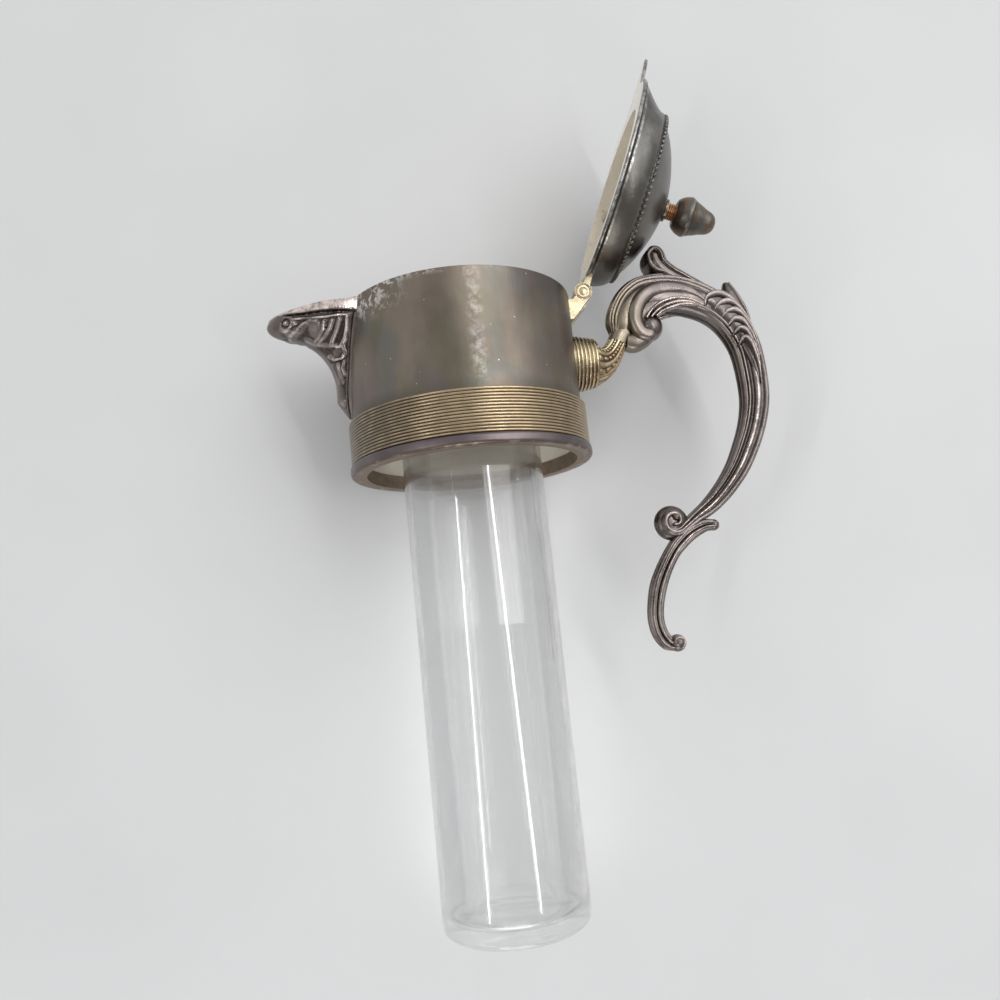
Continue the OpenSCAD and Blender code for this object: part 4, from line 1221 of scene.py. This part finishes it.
def bell_part(depth):
    """Bell: radius from wide to narrow as sin^1.3, with sectors that are ribs and pearl strings in turn."""
    sectors = 18
    wide, narrow = 8.5, 3.75
    t = np.linspace(0, 1, 150)
    a = np.pi / 2 * t
    middle = np.stack([ROOT_X + 9.6 * t, ROOT_Z + 7 * (1 - np.cos(a)) * t], 1)
    reach = wide + (narrow - wide) * np.sin(a) ** 1.3
    turn = angles(216)
    sector = (turn / (2 * np.pi) * sectors + 0.9 * t[:, None]) % sectors
    across = (sector % 1) * 2 - 1
    gap = 2 * np.pi * reach / sectors
    pearls = 1.15 * np.cumsum(np.concatenate([[0], np.diff(run_along(middle)) / gap[:-1]]))
    along = ((pearls % 1) * 2 - 1)[:, None]
    height = np.where(np.floor(sector) % 2 == 0, round_top(across),
                      0.92 * round_top(np.hypot(across * 1.05, along)))
    root = soft_step(t, 0, 0.03)[:, None]
    height = height * root + 0.4 * (1 - root)
    reach = reach[:, None]
    size = reach - depth * (1 - height) * np.minimum(1, reach / 6)
    return carried(middle, size * np.cos(turn), size * np.sin(turn), height)


def flank_parts(side):
    """Roll, leaf, inner ribs and leaf lobes of one side of the scroll."""
    parts = [swept(rounded(spline(SCROLL_ROLL, 7)), 36, 0.6, 0, side * 3.7),
             swept(rounded(spline(LEAF_BASE, 6)), 28, 0.3, 0, side * 3.2)]
    for line in INNER_RIBS:
        parts.append(swept(tapered(line, [1.0, 1.5, 1.5, 1.0], [2.4, 3, 3, 2]), 20, 0.95, 0, side * 4.6))
    for line in LEAF_LOBES:
        rows = tapered(line, [1.8, 4.0, 4.2, 3.2, 2.0, 1.0], [2.6, 4.0, 4.4, 3.6, 2.8, 2.0])
        parts.append(swept(rounded(rows), 28, lobe_section, 0.4, side * 4.3))
    return parts


class MakeHandleRoot(bpy.types.Operator):
    """Handle root: ringed ferrule and the bell with ribs and strings of pearls"""

    bl_idname = "jug.make_handle_root"
    bl_label = "Handle root"

    def execute(self, context):
        """Builds the ferrule along X and the bell along its bent middle line."""
        coppered = (scaled(colour("copper"), 0.38), root_underside)
        brass = [worked_metal("root_brass", "brass", 0.2, 1.9, 0.24, 0.66, coppered)]
        make_piece("ferrule_ringed", [ferrule_part()], brass, "jug_mount", ["handle_ferrule"])
        bell = bell_part(context.scene.jug_shapes.pearl_depth / MM)
        make_piece("bell_pearled", [bell], brass, "jug_mount", ["handle_bell"])
        return {"FINISHED"}


class MakeHandle(bpy.types.Operator):
    """Cast scroll: ribbed strap, rolled head with its ball, leaves, lower volute and curled tail"""

    bl_idname = "jug.make_handle"
    bl_label = "Handle"

    def execute(self, context):
        """Builds the scroll from its strap, rolls, ribs and leaves."""
        depth = context.scene.jug_shapes.rib_depth / MM
        strap = np.vstack([spline(STRAP, 14), spiral_rows(VOLUTE, -42, 1.2, 4.3, 4.0, 8.4)])
        bars = [  # rows, points round it, relief, depth
            (strap, 112, strap_section, depth),
            (rounded(spline(TAIL, 10)), 72, tail_section, depth * 0.65),
            (rounded(spline(THUMB, 8), start=False), 56, thumb_section, 0.6),
            (rounded(spline(THUMB_CORE, 8)), 40, 0.4),
            (rounded(spline(THUMB_SCOOP, 8)), 40, 0.5),
            (spline(SPUR, 6), 28, 0.35),
            (spline(SPUR_BACK, 6), 24, 0.8),
            (spiral_rows(TAIL_CURL, -80, -1.1, 2.4, 1.7, 6.6), 24, 0.9),
            (spline(NECK, 4), 32, 0.5),
            (spline(NECK_UNDER, 5), 40, 0.5),
            (spline(HEAD_FILL, 6), 40, 0.45),
        ]
        parts = [swept(*bar) for bar in bars] + [ball(*values) for values in BALLS]
        for side in (-1, 1):
            parts += flank_parts(side)
        gilded = (scaled(colour("brass"), 0.62), scroll_gilding)
        metal = worked_metal("handle_plate", "cast", 0.24, 2.5, 0.25, 0.76, gilded)
        make_piece("handle_cast", parts, [metal], "jug_mount", ["handle_scroll"])
        return {"FINISHED"}


# ---- ice tube ----


class MakeIceTube(bpy.types.Operator):
    """Glass ice tube with its turned-out rim and thick rounded bottom"""

    bl_idname = "jug.make_ice_tube"
    bl_label = "Ice tube"

    def execute(self, context):
        """Turns one closed outline of the tube, outside and inside."""
        bore, rim_low = TUBE_R - TUBE_WALL, TUBE_TOP - TUBE_RIM_H
        foot = spline([(0, 0.5), (8, 0.35), (16, 0.15), (20, 0.1), (22.4, 0.6), (23.8, 2.0),
                       (TUBE_R, 4.4)], 7)
        inside = spline([(bore, 12), (bore - 0.1, 8.6), (bore - 1.2, 6.3), (bore - 3.8, 5.2), (13, 4.9),
                         (6, 5.2), (0, 5.3)], 7)
        rim = [(TUBE_R, rim_low - 2), (TUBE_R + 0.2, rim_low - 0.5), (TUBE_R + 0.9, rim_low),
               (TUBE_RIM_R - 0.7, rim_low), (TUBE_RIM_R - 0.1, rim_low + 0.5), (TUBE_RIM_R, rim_low + 1.3),
               (TUBE_RIM_R - 0.3, TUBE_TOP - 0.4), (TUBE_RIM_R - 1.2, TUBE_TOP), (bore + 1.2, TUBE_TOP),
               (bore + 0.3, TUBE_TOP - 0.4), (bore, TUBE_TOP - 1.2)]
        wall = [(TUBE_R, z) for z in np.linspace(TUBE_BOTTOM + 10, rim_low - 8, 14)]
        bore_wall = [(bore, z) for z in np.linspace(TUBE_TOP - 6, TUBE_BOTTOM + 16, 14)]
        bottom = (0, TUBE_BOTTOM)
        profile = np.vstack([foot + bottom, wall, rim, bore_wall, inside + bottom])
        tube = turned(profile, 160)
        make_piece("ice_tube_blown", [tube], [glass_finish()], "tube", ["ice_tube"])
        return {"FINISHED"}


# ---- panel ----


class JugPanel(bpy.types.Panel):
    """Buttons and settings of the jug mount"""

    bl_idname = "VIEW3D_PT_jug_mount"
    bl_label = "Jug Mount"
    bl_space_type = "VIEW_3D"
    bl_region_type = "UI"
    bl_category = "Jug Mount"

    def draw(self, context):
        """Lists the operators, the sizes and the colours."""
        for step in STEPS:
            self.layout.operator(step.bl_idname)
        for group in (context.scene.jug_shapes, context.scene.jug_colours):
            box = self.layout.box()
            for key in group.__annotations__:
                box.prop(group, key)


STEPS = (MakeStage, DressCollar, MakeSpout, MakeLid, MakeHinge, MakeFinial, MakeHandleRoot, MakeHandle,
         MakeIceTube)


def register():
    """Adds the classes and the settings."""
    for item in (JugShapes, JugColours, *STEPS, JugPanel):
        bpy.utils.register_class(item)
    bpy.types.Scene.jug_shapes = PointerProperty(type=JugShapes)
    bpy.types.Scene.jug_colours = PointerProperty(type=JugColours)


def unregister():
    """Takes the classes and the settings away."""
    del bpy.types.Scene.jug_colours
    del bpy.types.Scene.jug_shapes
    for item in (JugPanel, *reversed(STEPS), JugColours, JugShapes):
        bpy.utils.unregister_class(item)


def main():
    """Builds everything in order."""
    register()
    bpy.ops.jug.make_stage()
    bpy.ops.jug.dress_collar()
    bpy.ops.jug.make_spout()
    bpy.ops.jug.make_lid()
    bpy.ops.jug.make_hinge()
    bpy.ops.jug.make_finial()
    bpy.ops.jug.make_handle_root()
    bpy.ops.jug.make_handle()
    bpy.ops.jug.make_ice_tube()


if __name__ == "__main__":
    main()
